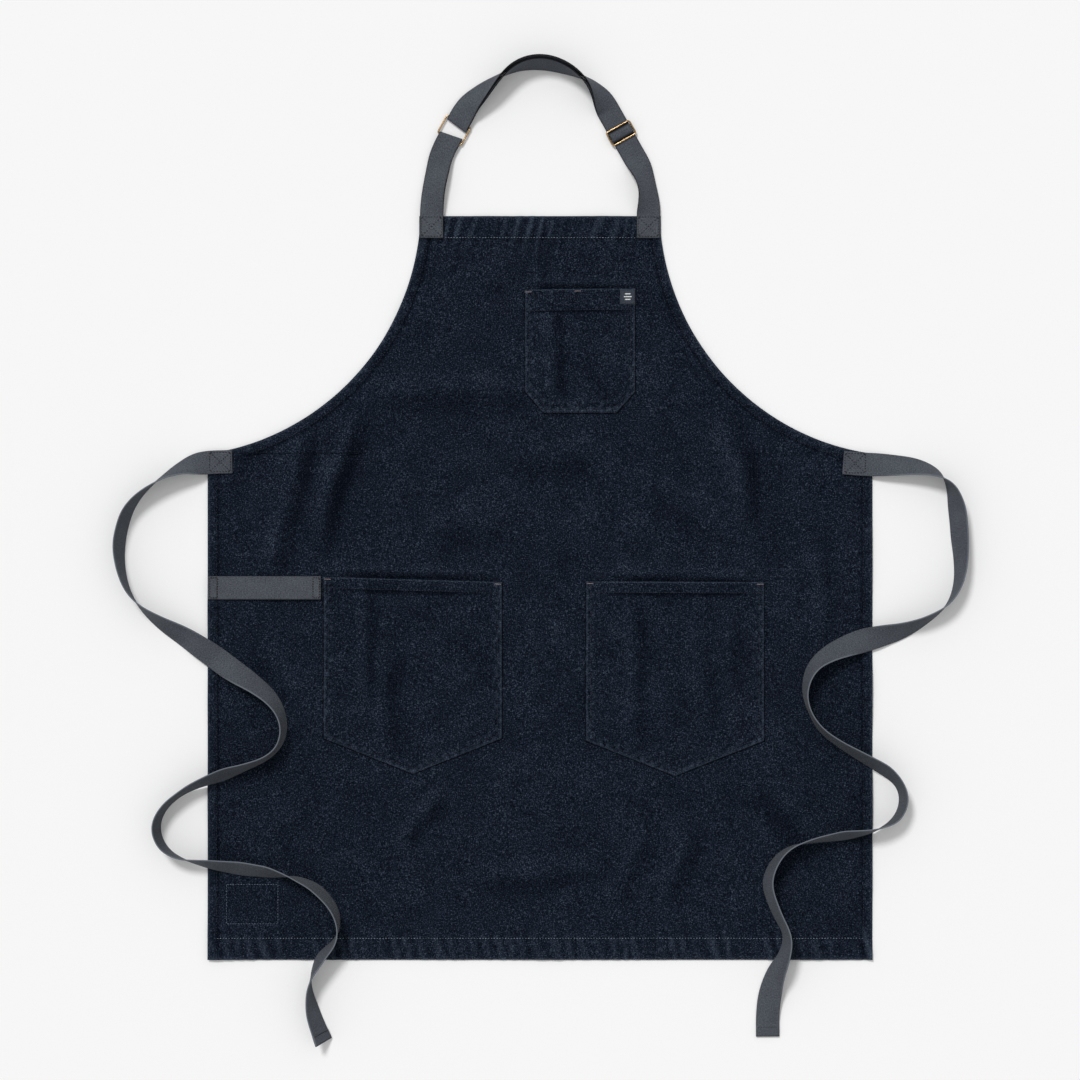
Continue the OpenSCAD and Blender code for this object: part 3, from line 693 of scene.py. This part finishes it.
class Pocket:
    """A patch pocket whose sides are side_depth long and whose bottom slopes in over corner."""

    def __init__(self, node, side_depth, corner, hem, slope, bulge, folds, seed):
        low, high = box_mm(node)
        self.node = node
        self.x, self.y = (low[0] + high[0]) / 2, high[1]
        self.width, self.depth = high[0] - low[0], high[1] - low[1]
        self.side_depth, self.corner = side_depth, corner
        self.hem, self.slope, self.bulge, self.folds, self.seed = hem, slope, bulge, folds, seed

    def floor(self, x):
        d = self.width / 2 - np.abs(x)
        return -(self.side_depth + (self.depth - self.side_depth) * np.clip(d / self.corner, 0, 1))

    def edge(self, x, y):
        """Distance in from the sewn sides and bottom."""
        side = self.width / 2 - np.abs(x)
        fall = math.atan2(self.depth - self.side_depth, self.corner)
        lower = np.minimum((y - self.floor(x)) * math.cos(fall), y + self.depth)
        return np.maximum(np.minimum(side, lower), 0)

    def place(self, x, y):
        """World x and y of local ones; the mouth slopes and the bottom doesn't."""
        return self.x + x, self.y + y + self.slope * x * ease(1 + y / self.side_depth)

    def shape(self, x, y):
        """(middle surface, half thickness, wear, wash) at local x and y."""
        edge = self.edge(x, y)
        mouth = ease(0.5 + (self.hem + y) / STEP)
        turned = ease((12 - edge) / 1.5)
        thick = CLOTH + 0.9 * turned + 0.9 * mouth
        rows = bump(np.min([np.abs(edge - d) for d in SEWN_ROWS], axis=0), 0.8)
        hem_row = bump(y + self.hem - 1, 0.8)
        thick = thick - 0.35 * rows - 0.35 * hem_row
        open_up = ease((y - self.floor(x) - 14) / (0.9 * self.side_depth))
        lift = self.bulge * open_up * ease((self.width / 2 - np.abs(x) - 7) / (0.32 * self.width))
        folds, shade = folded(x, y, self.folds)
        folds = folds * ease((edge - 4) / 10)
        loose = waves(x, y, self.seed, 12, 18, 60) * ease((edge - 7) / 12)
        lift = lift + 1.6 * folds + 0.28 * (ease((edge - 7) / 12) + loose)
        tug = 0.22 * waves(x + y, x - y, self.seed + 5, 10, 8, 14) * bump(edge - 5, 6)
        wx, wy = self.place(x, y)
        under = panel_top(wx, wy)
        # the sewn edge rolls down to the panel; the mouth stands free with a rounded edge
        roll = rounded(edge, 1.7, 0)
        low = under + 0.05 + (0.2 + lift + np.maximum(tug, -0.15)) * roll
        high = low + 0.10 + (thick - 0.10) * roll
        middle, half = (low + high) / 2, (high - low) / 2 * rounded(-y, 0.9, 0.04)
        sewn = bump(edge - 2.2, 0.8)
        wear_and_edge_light = 0.28 * sewn + 0.35 * bump(y + 0.9, 0.6) + 0.25 * turned * np.clip(tug * 4, 0, 1)
        # The wash values hold painted light and shade: the folds' painted light and shade, and painted shade
        # in dark lines along the stitch rows, round the sewn edge and under the mouth hem, where their
        # shadows fall; the loose and tug terms are wash mottling and wear.
        wash_and_shade = (0.050 * shade + 0.010 * loose + 0.20 * tug - 0.08 * rows - 0.35 * bump(edge, 1.0)
                - 0.25 * bump(y + self.hem + 0.2, 1.0))
        return middle, half, wear_and_edge_light, wash_and_shade

    def top(self, x, y):
        middle, half = self.shape(x, y)[:2]
        return middle + half

    def make(self):
        w = self.width / 2
        side = np.array([0, 0.3, 0.7, 1.2, 1.7, 2.4, 3.6, 5.0, 6.0, 7.0, 9.0, 11.2, 12.2, 14.5])
        inner = np.linspace(-w + 17, w - 17, int((2 * w - 34) / 2.6))
        x = np.concatenate([-w + side, inner, (w - side)[::-1]])
        corner = w - self.corner
        if corner > 2:
            x[np.abs(x - corner).argmin()] = corner
            x[np.abs(x + corner).argmin()] = -corner
        else:
            x[np.abs(x).argmin()] = 0
        bottom = 1 - side / self.depth
        h = self.hem / self.depth
        mouth = np.array([0, 0.4, 0.9, 2.0]) / self.depth
        v = np.concatenate([
            bottom, np.linspace(bottom[-1] - 0.015, h + 0.03, int((self.depth - 14 - self.hem) / 2.8)),
            h + np.array([1.2, 0.4, -0.2, -0.9, -1.8]) / self.depth,
            np.linspace(h - 0.03, mouth[-1] + 0.01, max(3, int(self.hem / 3))), mouth[::-1],
        ])
        gx = np.repeat(x[None, :], len(v), 0)
        gy = v[:, None] * self.floor(x)[None, :]
        middle, half, wear_and_edge_light, wash_and_shade = self.shape(gx, gy)
        wx, wy = self.place(gx, gy)
        cut_cloth(self.node, (wx, wy, middle - half, middle + half, wear_and_edge_light, wash_and_shade))


CHEST_FOLDS = [(-33, -22, -31, -120, 7, 2.0), (20, -70, 44, -110, 12, 0.9)]
HIP_LEFT_FOLDS = [(-56, -8, -52, -130, 7, 2.4), (-36, -90, -30, -195, 9, 2.2), (30, -60, 60, -120, 14, 1.0)]
HIP_RIGHT_FOLDS = [(-50, -20, -46, -180, 8, 1.6), (20, -10, 30, -150, 10, 1.2), (60, -40, 52, -120, 9, 0.9)]
CHEST = Pocket("chest_pocket", 112, 21, 24, 0.012, 3.6, CHEST_FOLDS, 41)
HIP_LEFT = Pocket("hip_pocket_left", 174, 98, 13, -0.029, 4.6, HIP_LEFT_FOLDS, 51)
HIP_RIGHT = Pocket("hip_pocket_right", 174, 98, 13, -0.004, 4.6, HIP_RIGHT_FOLDS, 61)
POCKETS = (CHEST, HIP_LEFT, HIP_RIGHT)
for patch in POCKETS:
    patch.make()

# ---- neck straps

RING_MIDDLE = np.mean(box_mm("neck_ring"), axis=0)
RING_TURN = math.radians(-28.6)
RING_REACH = 11.0     # from the ring's middle to its long bars
RING_ALONG = np.array([-math.sin(RING_TURN), math.cos(RING_TURN), 0])
RING_ACROSS = np.array([-math.cos(RING_TURN), -math.sin(RING_TURN), 0])
SLIDE_MIDDLE = np.mean(box_mm("slide_frame"), axis=0)
SLIDE_TURN = math.radians(29.4)
SLIDE_ALONG = np.array([-math.sin(SLIDE_TURN), math.cos(SLIDE_TURN), 0])
SLIDE_STRETCH = 27    # the strap lies straight and level this far each way from the slide
SOFT_START = 10       # past that, it softens over this length
FOLD_RADIUS = WIRE / 2 + GAP + WEB / 2
FOLD_STEPS = 14

# x, height above the top hem, tilt and height of the lowest edge
ANCHOR_POINTS = [
    (-NECK_X, 1.5, 0, 2.25), (-117.3, 14, -12, 1.2), (-115.5, 30, -18, 0.4), (-112, 46, -16, 0.4),
    (-110, 56, -10, 0.6), (-107.9, 66.6, 0, 1.35), (-103.8, 74.2, 0, 1.35),
]
NECK_POINTS = [
    (NECK_X, 1.5, 0, 0.8), (118, 15, 26, 0.1), (116.5, 29, 38, 0.1), (113, 42, 34, 0.1),
    (108.3, 54.4, 14, 0.1), (103, 64, 0, 0.1), (88.3, 90, 0, 0.1), (73.6, 116, 0, 0.1),
    (65, 130.5, 46, 0.1), (56, 143.5, 70, 0.1), (42, 154, 90, 0.1), (28, 161, 104, 0.1),
    (12, 166, 112, 0.1), (-3, 167.5, 112, 0.1), (-20, 165, 104, 0.1), (-36, 157.5, 90, 0.1),
    (-49, 147, 72, 0.1), (-60.5, 137, 50, 0.1), (-70.5, 127.3, 36, 0.2), (-78.4, 119.6, 18, 0.8),
    (-83.2, 112.3, 4, 1.35),
]


def strap_route(points):
    """The strap's line, softened everywhere but on the straight stretch that the slide runs along."""
    route = even(catmull(np.array(points) + (0, TOP, 0, 0), 10), 2.0)
    return soften_away(route, soften(route, 2), np.hypot(*(route[:, :2] - SLIDE_MIDDLE[:2]).T))


def soften_away(values, softened, distance):
    """The softened values, but the plain ones on the stretch that the slide runs along."""
    share = ease((distance - SLIDE_STRETCH) / SOFT_START)[:, None]
    return values * (1 - share) + softened * share


def fold_round(bar, along, across, start, stop):
    """A half turn of webbing round a bar: middle points from angle start to stop, and across vectors."""
    angles = np.radians(np.linspace(start, stop, FOLD_STEPS))[:, None]
    middle = bar + FOLD_RADIUS * (np.cos(angles) * along + np.sin(angles) * np.array([0, 0, 1.0]))
    return middle, repeated(across, FOLD_STEPS)


def repeated(row, count):
    return np.repeat(np.reshape(row, (1, -1)), count, 0)


def there_and_back(out, turn, back):
    """One line: out to the bar, round it and back again."""
    return np.vstack([out[:-1], turn, back[-2::-1]])


def apart(middle, across, amounts, drop=0.0):
    """Moves a line of webbing along its face by amounts, and down its width by drop."""
    face = unit(np.cross(unit(np.gradient(middle, axis=0)), across))
    return middle + face * np.reshape(amounts, (-1, 1)) - across * np.reshape(drop, (-1, 1))


def loose_loop(strap, bar, along, reach, slope):
    """Slides the fold round a bar out to reach and sets it askew, as a slack loop of webbing lies."""
    verts = np.empty(len(strap.data.vertices) * 3)
    strap.data.vertices.foreach_get("co", verts)
    verts = verts.reshape(-1, 3) / MM
    ahead = (verts - bar) @ along
    off = (verts - bar) @ np.array([-along[1], along[0], 0])
    near = (np.abs(off) < 20) & (np.abs(verts[:, 2] - bar[2]) < 6)
    weight = np.where(near, ease((ahead + 13) / 13), 0)
    verts += along * (weight * (reach - FOLD_RADIUS - WEB / 2 + slope * off))[:, None]
    strap.data.vertices.foreach_set("co", (verts * MM).ravel())
    strap.data.update()


def joined_to_bar(middle, across, bar, along, straight=0):
    """The strap's line carried on to the bar, level and square to it at the end."""
    tail = bar - along * np.arange(8.0, -1, -2)[:, None]
    middle = np.vstack([middle, tail])
    across = np.vstack([across, repeated((-along[1], along[0], 0), len(tail))])
    keep = len(middle) - 2
    share = ease((run_length(middle) - straight) / SOFT_START)[:, None]
    middle[3:keep] = (middle * (1 - share) + soften(middle, 3) * share)[3:keep]
    across[3:] = unit(across * (1 - share) + soften(across, 4) * share)[3:]
    return middle, across


def with_sewn_end(x, rise, middle, across):
    """The line of a strap with its sewn end before it, which lies rise above the panel."""
    y = np.arange(TOP - END_HEM + 1, TOP + 0.5, 2.0)
    x = np.full(len(y), x)
    sewn = np.column_stack([x, y, panel_top(x, y) + rise])
    return np.vstack([sewn, middle]), np.vstack([repeated(across[0], len(y)), across])


def fold_at_hem(strap):
    """Bakes the strap's placement into its mesh."""
    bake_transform(strap)


def anchor_strap():
    """The short strap: up under the ring's lower bar, round it and back down, sewn in two layers."""
    middle, across = lay_ribbon(strap_route(ANCHOR_POINTS), stack=STACK)
    bar = RING_MIDDLE - RING_ALONG * RING_REACH
    middle, across = joined_to_bar(middle, across, bar, RING_ALONG)
    middle, across = with_sewn_end(-NECK_X, WEB + 0.12, middle, across)
    middle[:-6] = soften(middle, 2)[:-6]
    left = run_length(middle)[-1] - run_length(middle)
    half_gap = LAYER - 0.1 + (FOLD_RADIUS - LAYER + 0.1) * ease((16 - left) / 13)
    turn, turn_across = fold_round(bar, RING_ALONG, RING_ACROSS, -78, 78)
    path = there_and_back(apart(middle, across, -half_gap), turn, apart(middle, across, half_gap))
    strap = sweep("anchor_strap", path, there_and_back(across, turn_across, across), neck_web)
    loose_loop(strap, bar, RING_ALONG, 4.8, -0.17)
    fold_at_hem(strap)
    stands_for(strap, "webbing", "anchor_strap", "anchor_strap_end", "anchor_strap_fold")


def neck_strap():
    """The long strap, in two pieces that meet end to end under the slide."""
    route = strap_route(NECK_POINTS)
    split = np.hypot(*(route[:, :2] - SLIDE_MIDDLE[:2]).T).argmin()
    upper, across = lay_ribbon(route, stack=STACK, shift=LAYER)
    root, root_across = with_sewn_end(NECK_X, WEB / 2 + 0.1, upper[:split + 1], across[:split + 1])
    root = soften_away(root, soften(root, 2), run_length(root)[-1] - run_length(root))
    low = sweep("neck_strap_root", root, root_across, neck_web)
    fold_at_hem(low)
    stands_for(low, "webbing", "neck_strap_end")

    core, across = lay_ribbon(route[split:], stack=STACK)
    bar = RING_MIDDLE + RING_ALONG * RING_REACH
    core, across = joined_to_bar(core, across, bar, -RING_ALONG, SLIDE_STRETCH)
    done = run_length(core)
    left = done[-1] - done
    # the two layers part between the slide and the ring, and close up again at each
    parted = ease((done - 34) / 30) * ease((left - 10) / 24)
    gap = LAYER + (FOLD_RADIUS - LAYER) * ease((16 - left) / 13)
    under = apart(core, across, -gap - 2.2 * parted, parted)
    turn, turn_across = fold_round(bar, -RING_ALONG, -RING_ACROSS, 78, -78)
    path = there_and_back(apart(core, across, gap), turn, under)
    strap = sweep("neck_strap", path, there_and_back(across, turn_across, across), neck_web)
    loose_loop(strap, bar, -RING_ALONG, 5.8, 0.145)
    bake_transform(strap)
    stands_for(strap, "webbing", "neck_strap_upper", "neck_strap_under", "neck_strap_fold")


def slide_hump():
    """The strap's rise over the slide's centre bar; its thin ends glide on the strap."""
    reach, thin = 8.2, 0.16
    t = np.linspace(-reach, reach, 34)
    thick = thin + (WEB - thin) * ease((reach - np.abs(t)) / 3)
    gliding = 0.1 + STACK + 0.14 + thick / 2
    over_bar = SLIDE_MIDDLE[2] + WIRE / 2 + WEB / 2 + 0.15
    z = gliding + (over_bar - gliding) * ease((reach - 0.6 - np.abs(t)) / 6.4)
    middle = SLIDE_MIDDLE * (1, 1, 0) + t[:, None] * SLIDE_ALONG + z[:, None] * np.array([0, 0, 1.0])
    across = repeated((-SLIDE_ALONG[1], SLIDE_ALONG[0], 0), len(t))
    hump = sweep("slide_strap_hump", middle, across, neck_web, width=WEB_WIDTH - 0.1, thick=thick)
    # painted shade: its ends are dark where they go down beside the frame's bars, into the shade of the gaps
    # there
    wear_and_edge_light = hump.data.attributes["wear_and_edge_light"].data
    edge = np.empty(len(wear_and_edge_light), np.float32)
    wear_and_edge_light.foreach_get("value", edge)
    gap_shade = np.repeat(ease((np.abs(t) - 2.6) / 3.4), len(wear_and_edge_light) // len(t))
    wear_and_edge_light.foreach_set("value", np.maximum(edge, gap_shade).astype(np.float32))
    settle(hump, "slide", "webbing", "slide_strap_hump")


anchor_strap()
neck_strap()
slide_hump()

for node, finish in (("neck_ring", brass), ("slide_frame", brass), ("slide_bar", shaded_brass)):
    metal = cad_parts[node]
    metal.data.materials.clear()
    metal.data.materials.append(finish)

# ---- towel loop

LOOP_LOW, LOOP_HIGH = box_mm("towel_loop")


def loop_turned(x):
    """How much the turned end of the towel loop adds to its thickness."""
    return 0.9 * (ease((LOOP_LOW[0] + 9.5 - x) / 1.0) + ease((x - LOOP_HIGH[0] + 9.5) / 1.0))


def loop_level(x):
    """Height of the towel loop's middle above the floor: on the panel, and arched between its ends."""
    across = np.linspace(LOOP_LOW[1], LOOP_HIGH[1], 5)
    lying = np.max([panel_top(x, np.full(np.shape(x), y)) for y in across], axis=0) + WEB / 2 + 0.15
    free = np.clip((x - LOOP_LOW[0] - 11) / (LOOP_HIGH[0] - LOOP_LOW[0] - 21), 0, 1)
    return lying + 2.6 * np.sin(math.pi * free) ** 0.7


def towel_loop():
    x = np.arange(LOOP_LOW[0], LOOP_HIGH[0] + 0.1, 0.8)
    y = np.full(len(x), (LOOP_LOW[1] + LOOP_HIGH[1]) / 2)
    middle = np.column_stack([x, y, soften(loop_level(x)[:, None], 4)[:, 0] + loop_turned(x) / 2])
    loop = sweep("towel_loop", middle, repeated((0, 1.0, 0), len(x)), grey_web,
                 width=LOOP_HIGH[1] - LOOP_LOW[1], thick=WEB + loop_turned(x))
    settle(loop, "apron", "webbing", "towel_loop")


towel_loop()

# ---- threads

THREAD_SIDES = 6
PITCH = 3.1           # length of a stitch and its gap in the cloth's rows
BOX_INSET = 1.8       # from the webbing's edge to the box sewn on it
TIE_SEWN = ((-359.5, 40.2, -336.8, 61.2), (331.8, 38.8, 354, 59.8))     # low x and y, high x and y
LOOP_SEWN = ((-359.2, -351.2), (-247.0, -239.8))                        # low x, high x
SIDE_ROW_TOP = 34     # the side rows stop below the sewn ties
# Along one stitch: share of its length, rise of its middle and share of its thickness
ARCH = np.array([(0, -0.9, 0.35), (0.12, 0.1, 0.85), (0.35, 1, 1), (0.65, 1, 1), (0.88, 0.1, 0.85),
                 (1, -0.9, 0.35)])


def thread_pieces(name, stitches, material, radius, rise, slot="topstitch", uneven=0.0, replaces=True):
    """Each stitch is a short arched thread from a start to an end, both on the cloth's surface, in mm."""
    a, b = (np.asarray(ends, float) for ends in stitches)
    full = 1 - uneven * np.random.RandomState(len(a)).uniform(0, 1, len(a))[:, None, None, None]
    along = unit(b - a)
    side = unit(np.cross(along, np.array([0, 0, 1.0])))[:, None, None]
    up = np.cross(side[:, 0, 0], along)[:, None, None]
    spots, arch, size = ARCH.T[:, None, :, None]
    turns = (np.arange(THREAD_SIDES) * 2 * math.pi / THREAD_SIDES)[None, None, :, None]
    middle = a[:, None] + (b - a)[:, None] * spots + up[:, 0] * arch * rise
    circle = (side * np.cos(turns) + up * np.sin(turns)) * (size * radius)[:, :, None] * full
    verts = (middle[:, :, None] + circle).reshape(-1, 3)
    rings, n = len(ARCH), THREAD_SIDES
    ring, k = (i.ravel() for i in np.meshgrid(np.arange(rings - 1) * n, np.arange(n), indexing="ij"))
    after = (k + 1) % n
    quads = np.stack([ring + k, ring + after, ring + n + after, ring + n + k], 1)
    first = np.arange(len(a)) * rings * n
    faces = (quads[None] + first[:, None, None]).reshape(-1, 4).tolist()
    for i in first:
        faces.append(range(i + n - 1, i - 1, -1))
        faces.append(range(i + (rings - 1) * n, i + rings * n))
    made = make_object(name, verts, faces, material)
    settle(made, "apron", slot, *([name] if replaces else []))


def stitches_along(path, height, pitch, share, jitter, seed):
    """Starts and ends of stitches along a plan line, at the height that height(x, y) gives."""
    line = even(np.asarray(path, float), 0.5)
    s = run_length(line)
    count = max(1, int(round(s[-1] / pitch)))
    step = s[-1] / count
    draw = np.random.RandomState(seed)
    begin = (np.arange(count) + (1 - share) / 2) * step
    out = []
    for at in (begin, begin + share * step):
        x = np.interp(at, s, line[:, 0]) + draw.uniform(-jitter, jitter, count)
        y = np.interp(at, s, line[:, 1]) + draw.uniform(-jitter, jitter, count)
        out.append(np.column_stack([x, y, height(x, y)]))
    return out


def join(pairs):
    return [np.vstack(ends) for ends in zip(*pairs)]


def stitched(paths, height, pitch, share, jitter, seed=0):
    """Starts and ends of the stitches along all paths."""
    return join([stitches_along(p, height, pitch, share, jitter, seed + i) for i, p in enumerate(paths)])


def hem_paths():
    """The rows along the top and bottom hems, and those along the sides and armholes."""
    x = HALF - SIDE_HEM + ROW_INSET
    low, high = BOTTOM + END_HEM - ROW_INSET, TOP - END_HEM + ROW_INSET
    inner = NECK_X - WEB_WIDTH / 2 - 1
    tangent = unit(np.gradient(arm_curve, axis=0))
    row = arm_curve + np.column_stack([tangent[:, 1], -tangent[:, 0]]) * (SIDE_HEM - ROW_INSET)
    row = row[(row[:, 1] < high - 2) & (row[:, 0] < HALF - 42)]
    sides = []
    for side in (-1, 1):
        sides += [[(side * x, low + 4), (side * x, SIDE_ROW_TOP)], row * (side, 1)]
    return [[(-x, low), (x, low)], [(-inner, high), (inner, high)]], sides


def box_row(x0, y0, x1, y1):
    corners = [(x0, y0), (x1, y0), (x1, y1), (x0, y1), (x0, y0)]
    return [corners[i:i + 2] for i in range(4)]


def box_cross(x0, y0, x1, y1):
    return box_row(x0, y0, x1, y1) + [[(x0, y0), (x1, y1)], [(x0, y1), (x1, y0)]]


def pocket_rows(pocket):
    """Two rows round the sides and bottom and one along the mouth hem, in the pocket's own x and y."""
    rows = []
    fall = math.atan2(pocket.depth - pocket.side_depth, pocket.corner)
    for d in SEWN_ROWS:
        w = pocket.width / 2 - d
        # where the side row meets the sloping bottom row
        meet = -(pocket.side_depth + d * math.tan(fall)) + d / math.cos(fall)
        flat = -pocket.depth + d
        run = (flat - meet) / math.tan(-fall)
        points = [(-w, -1.0), (-w, meet), (-w + run, flat), (w - run, flat), (w, meet), (w, -1.0)]
        rows += [points[i:i + 2] for i in range(5) if np.abs(np.subtract(*points[i:i + 2])).max() > 2]
    w = pocket.width / 2 - 2
    return rows + [[(-w, -pocket.hem + 1), (w, -pocket.hem + 1)]]


def placed(pocket, stitches):
    """Stitches from the pocket's own x and y to the apron's."""
    for ends in stitches:
        ends[:, 0], ends[:, 1] = pocket.place(ends[:, 0].copy(), ends[:, 1].copy())
    return stitches


def bartack(x, y, length, height):
    """Close threads laid across a short bar along X."""
    wide, pitch = 1.1, 0.42
    at = np.arange(x - length / 2, x + length / 2, pitch)
    ends = []
    for px, side in ((at, -1), (at + 0.25, 1)):
        py = np.full(len(at), y + side * wide / 2)
        ends.append(np.column_stack([px, py, height(px, py)]))
    return ends


def strap_height(x, y):
    """Top of the sewn strap ends."""
    return panel_top(x, y) + np.where(x < 0, 2 * WEB + 0.12, WEB + 0.1)


def tie_height(x, y):
    """Top of the sewn tie ends."""
    left = np.interp(-x, -left_middle[:40, 0], left_middle[:40, 2])
    right = np.interp(x, right_middle[:40, 0], right_middle[:40, 2])
    return np.where(x < 0, left, right) + WEB / 2 + 0.12


def loop_height(x, y):
    """Top of the towel loop."""
    return loop_level(x) + loop_turned(x) + WEB / 2 + 0.15


def tie_end_row(middle, across):
    """A row across a tie, where its turned end is sewn down."""
    left = run_length(middle)[-1] - run_length(middle)
    at = np.abs(left - 9.0).argmin()
    out = unit(np.cross(middle[at + 1] - middle[at], across[at]))
    steps = np.linspace(-0.86, 0.86, 9)[:, None] * WEB_WIDTH / 2 * across[at]
    row = middle[at] + steps + out * np.sign(out[2]) * (WEB / 2 + 0.45)
    share = 0.3 * steps[0] / 11
    return row[:-1] + share, row[1:] - share


def make_threads():
    ends, sides = hem_paths()
    thread_pieces("hem_stitching", stitched(ends, panel_top, PITCH, 0.55, 0.22), pale_thread, 0.36, 0.2,
                  uneven=0.6)
    thread_pieces("hem_stitching_sides", stitched(sides, panel_top, PITCH, 0.55, 0.22), navy_thread,
                  0.33, 0.18, uneven=0.4, replaces=False)
    for pocket in POCKETS:
        rows = stitched(pocket_rows(pocket), pocket.top, PITCH, 0.74, 0.1, 70)
        thread_pieces(pocket.node + "_stitching", placed(pocket, rows), navy_thread, 0.30, 0.12, uneven=0.4)

    half = WEB_WIDTH / 2 - BOX_INSET
    neck = [row for x in (-NECK_X, NECK_X)
            for row in box_cross(x - half, TOP - END_HEM + 2.8, x + half, TOP - 1.2)]
    waist = box_cross(*TIE_SEWN[0]) + box_cross(*TIE_SEWN[1])
    for name, paths, height in (("neck_strap", neck, strap_height), ("waist_tie", waist, tie_height)):
        thread_pieces(name + "_stitching", stitched(paths, height, 3.2, 0.5, 0.15), grey_thread, 0.52, 0.26,
                      uneven=0.3)

    y0, y1 = LOOP_LOW[1] + BOX_INSET, LOOP_HIGH[1] - BOX_INSET
    loop = [row for x0, x1 in LOOP_SEWN for row in box_row(x0, y0, x1, y1)]
    thread_pieces("towel_loop_stitching", stitched(loop, loop_height, 2.6, 0.66, 0.15), brown_thread,
                  0.60, 0.26, slot="bartack", uneven=0.3)

    rows = [tie_end_row(left_middle, left_across), tie_end_row(right_middle, right_across)]
    thread_pieces("waist_tie_end_stitching", join(rows), grey_thread, 0.36, 0.1, replaces=False)

    tacks = [(CHEST, -CHEST.width / 2 + 4.6, 7.0), (CHEST, -2.6, 6.5)]
    for pocket in (HIP_LEFT, HIP_RIGHT):
        tacks += [(pocket, side * (pocket.width / 2 - 5.5), 7.0) for side in (-1, 1)]
    bars = [placed(pocket, bartack(x, -2.6, length, pocket.top)) for pocket, x, length in tacks]
    thread_pieces("pocket_bartacks", join(bars), pink_thread, 0.26, 0.3, slot="bartack", uneven=0.5)


make_threads()

# ---- labels

LABEL_LOW, LABEL_HIGH = box_mm("pocket_label")
BACK_LOW, BACK_HIGH = box_mm("back_label")


def above_chest(rise):
    """The height of what lies rise above the chest pocket, as a function of x and y."""
    return lambda x, y: CHEST.top(x - CHEST.x, y - CHEST.y) + rise


def pad(name, low, high, height, thick, material, slot, nodes=(), step=0.8):
    """A thin woven piece on a surface, its edges rounded, between two corners."""
    lines = [np.linspace(a, b, max(4, int((b - a) / step))) for a, b in zip(low[:2], high[:2])]
    x, y = np.meshgrid(*lines)
    edge = np.minimum.reduce([x - low[0], high[0] - x, y - low[1], high[1] - y])
    under = height(x, y)
    made = two_sided(name, x, y, under, under + thick * rounded(edge, 0.35, 0.1), (material, material),
                     0 * x, 0 * x)
    settle(made, "apron", slot, *nodes)


def make_labels():
    pad("pocket_label", LABEL_LOW, LABEL_HIGH, above_chest(0.05), 0.55, dark_label, "label_dark",
        ["pocket_label"])
    inset = 1.1
    border = box_row(*(LABEL_LOW[:2] + inset), *(LABEL_HIGH[:2] - inset))
    thread_pieces("pocket_label_stitching", stitched(border, above_chest(0.6), 2.0, 0.7, 0.05),
                  grey_thread, 0.2, 0.12)

    # the woven mark is three plain bars
    middle = (LABEL_LOW[:2] + LABEL_HIGH[:2]) / 2
    for i, (rise, wide) in enumerate(((3.0, 6.4), (0, 8.6), (-3.0, 6.4))):
        centre, reach = middle + (0, rise), np.array([wide / 2, 0.75])
        pad(f"pocket_label_bar_{i + 1}", centre - reach, centre + reach, above_chest(0.45), 0.28,
            light_label, "label_dark", step=0.4)

    pad("back_label", BACK_LOW + 0.3, BACK_HIGH - 0.3, lambda x, y: 0 * x + 0.02, 0.3, pale_label,
        "label_cloth", ["back_label"], step=2.0)
    inset = 1.5
    outline = box_row(*(BACK_LOW[:2] + inset), *(BACK_HIGH[:2] - inset))
    thread_pieces("back_label_stitching", stitched(outline, panel_top, 3.0, 0.7, 0.1), blue_thread,
                  0.30, 0.16, uneven=0.5)


make_labels()

# ---- floor and light

FLOOR_HALF = 6.0      # metres
SKY = 0.57
SUN = 1.82
SUN_WIDTH = math.radians(14)
SUN_FROM = (-0.50, 0.85, 1.30)


def make_stage():
    scene = bpy.context.scene
    scene.view_settings.view_transform = "Standard"
    mesh = bpy.data.meshes.new("floor")
    corners = [(x * FLOOR_HALF, y * FLOOR_HALF, 0) for x, y in ((-1, -1), (1, -1), (1, 1), (-1, 1))]
    mesh.from_pydata(corners, [], [(0, 1, 2, 3)])
    floor = bpy.data.objects.new("floor", mesh)
    floor.location.z = -0.0003
    scene.collection.objects.link(floor)
    white = Finish("floor", 0.9, 0.1)
    white.shader["Base Color"].default_value = (0.90, 0.90, 0.90, 1)
    mesh.materials.append(white.material)

    world = bpy.data.worlds.new("studio")
    world.use_nodes = True
    sky = world.node_tree.nodes["Background"].inputs
    sky["Color"].default_value = (1, 1, 1, 1)
    sky["Strength"].default_value = SKY
    scene.world = world

    data = bpy.data.lights.new("key", "SUN")
    data.energy = SUN
    data.angle = SUN_WIDTH
    key = bpy.data.objects.new("key", data)
    x, y, z = SUN_FROM
    key.rotation_euler = (math.atan2(math.hypot(x, y), z), 0, math.atan2(x, -y))
    scene.collection.objects.link(key)


make_stage()
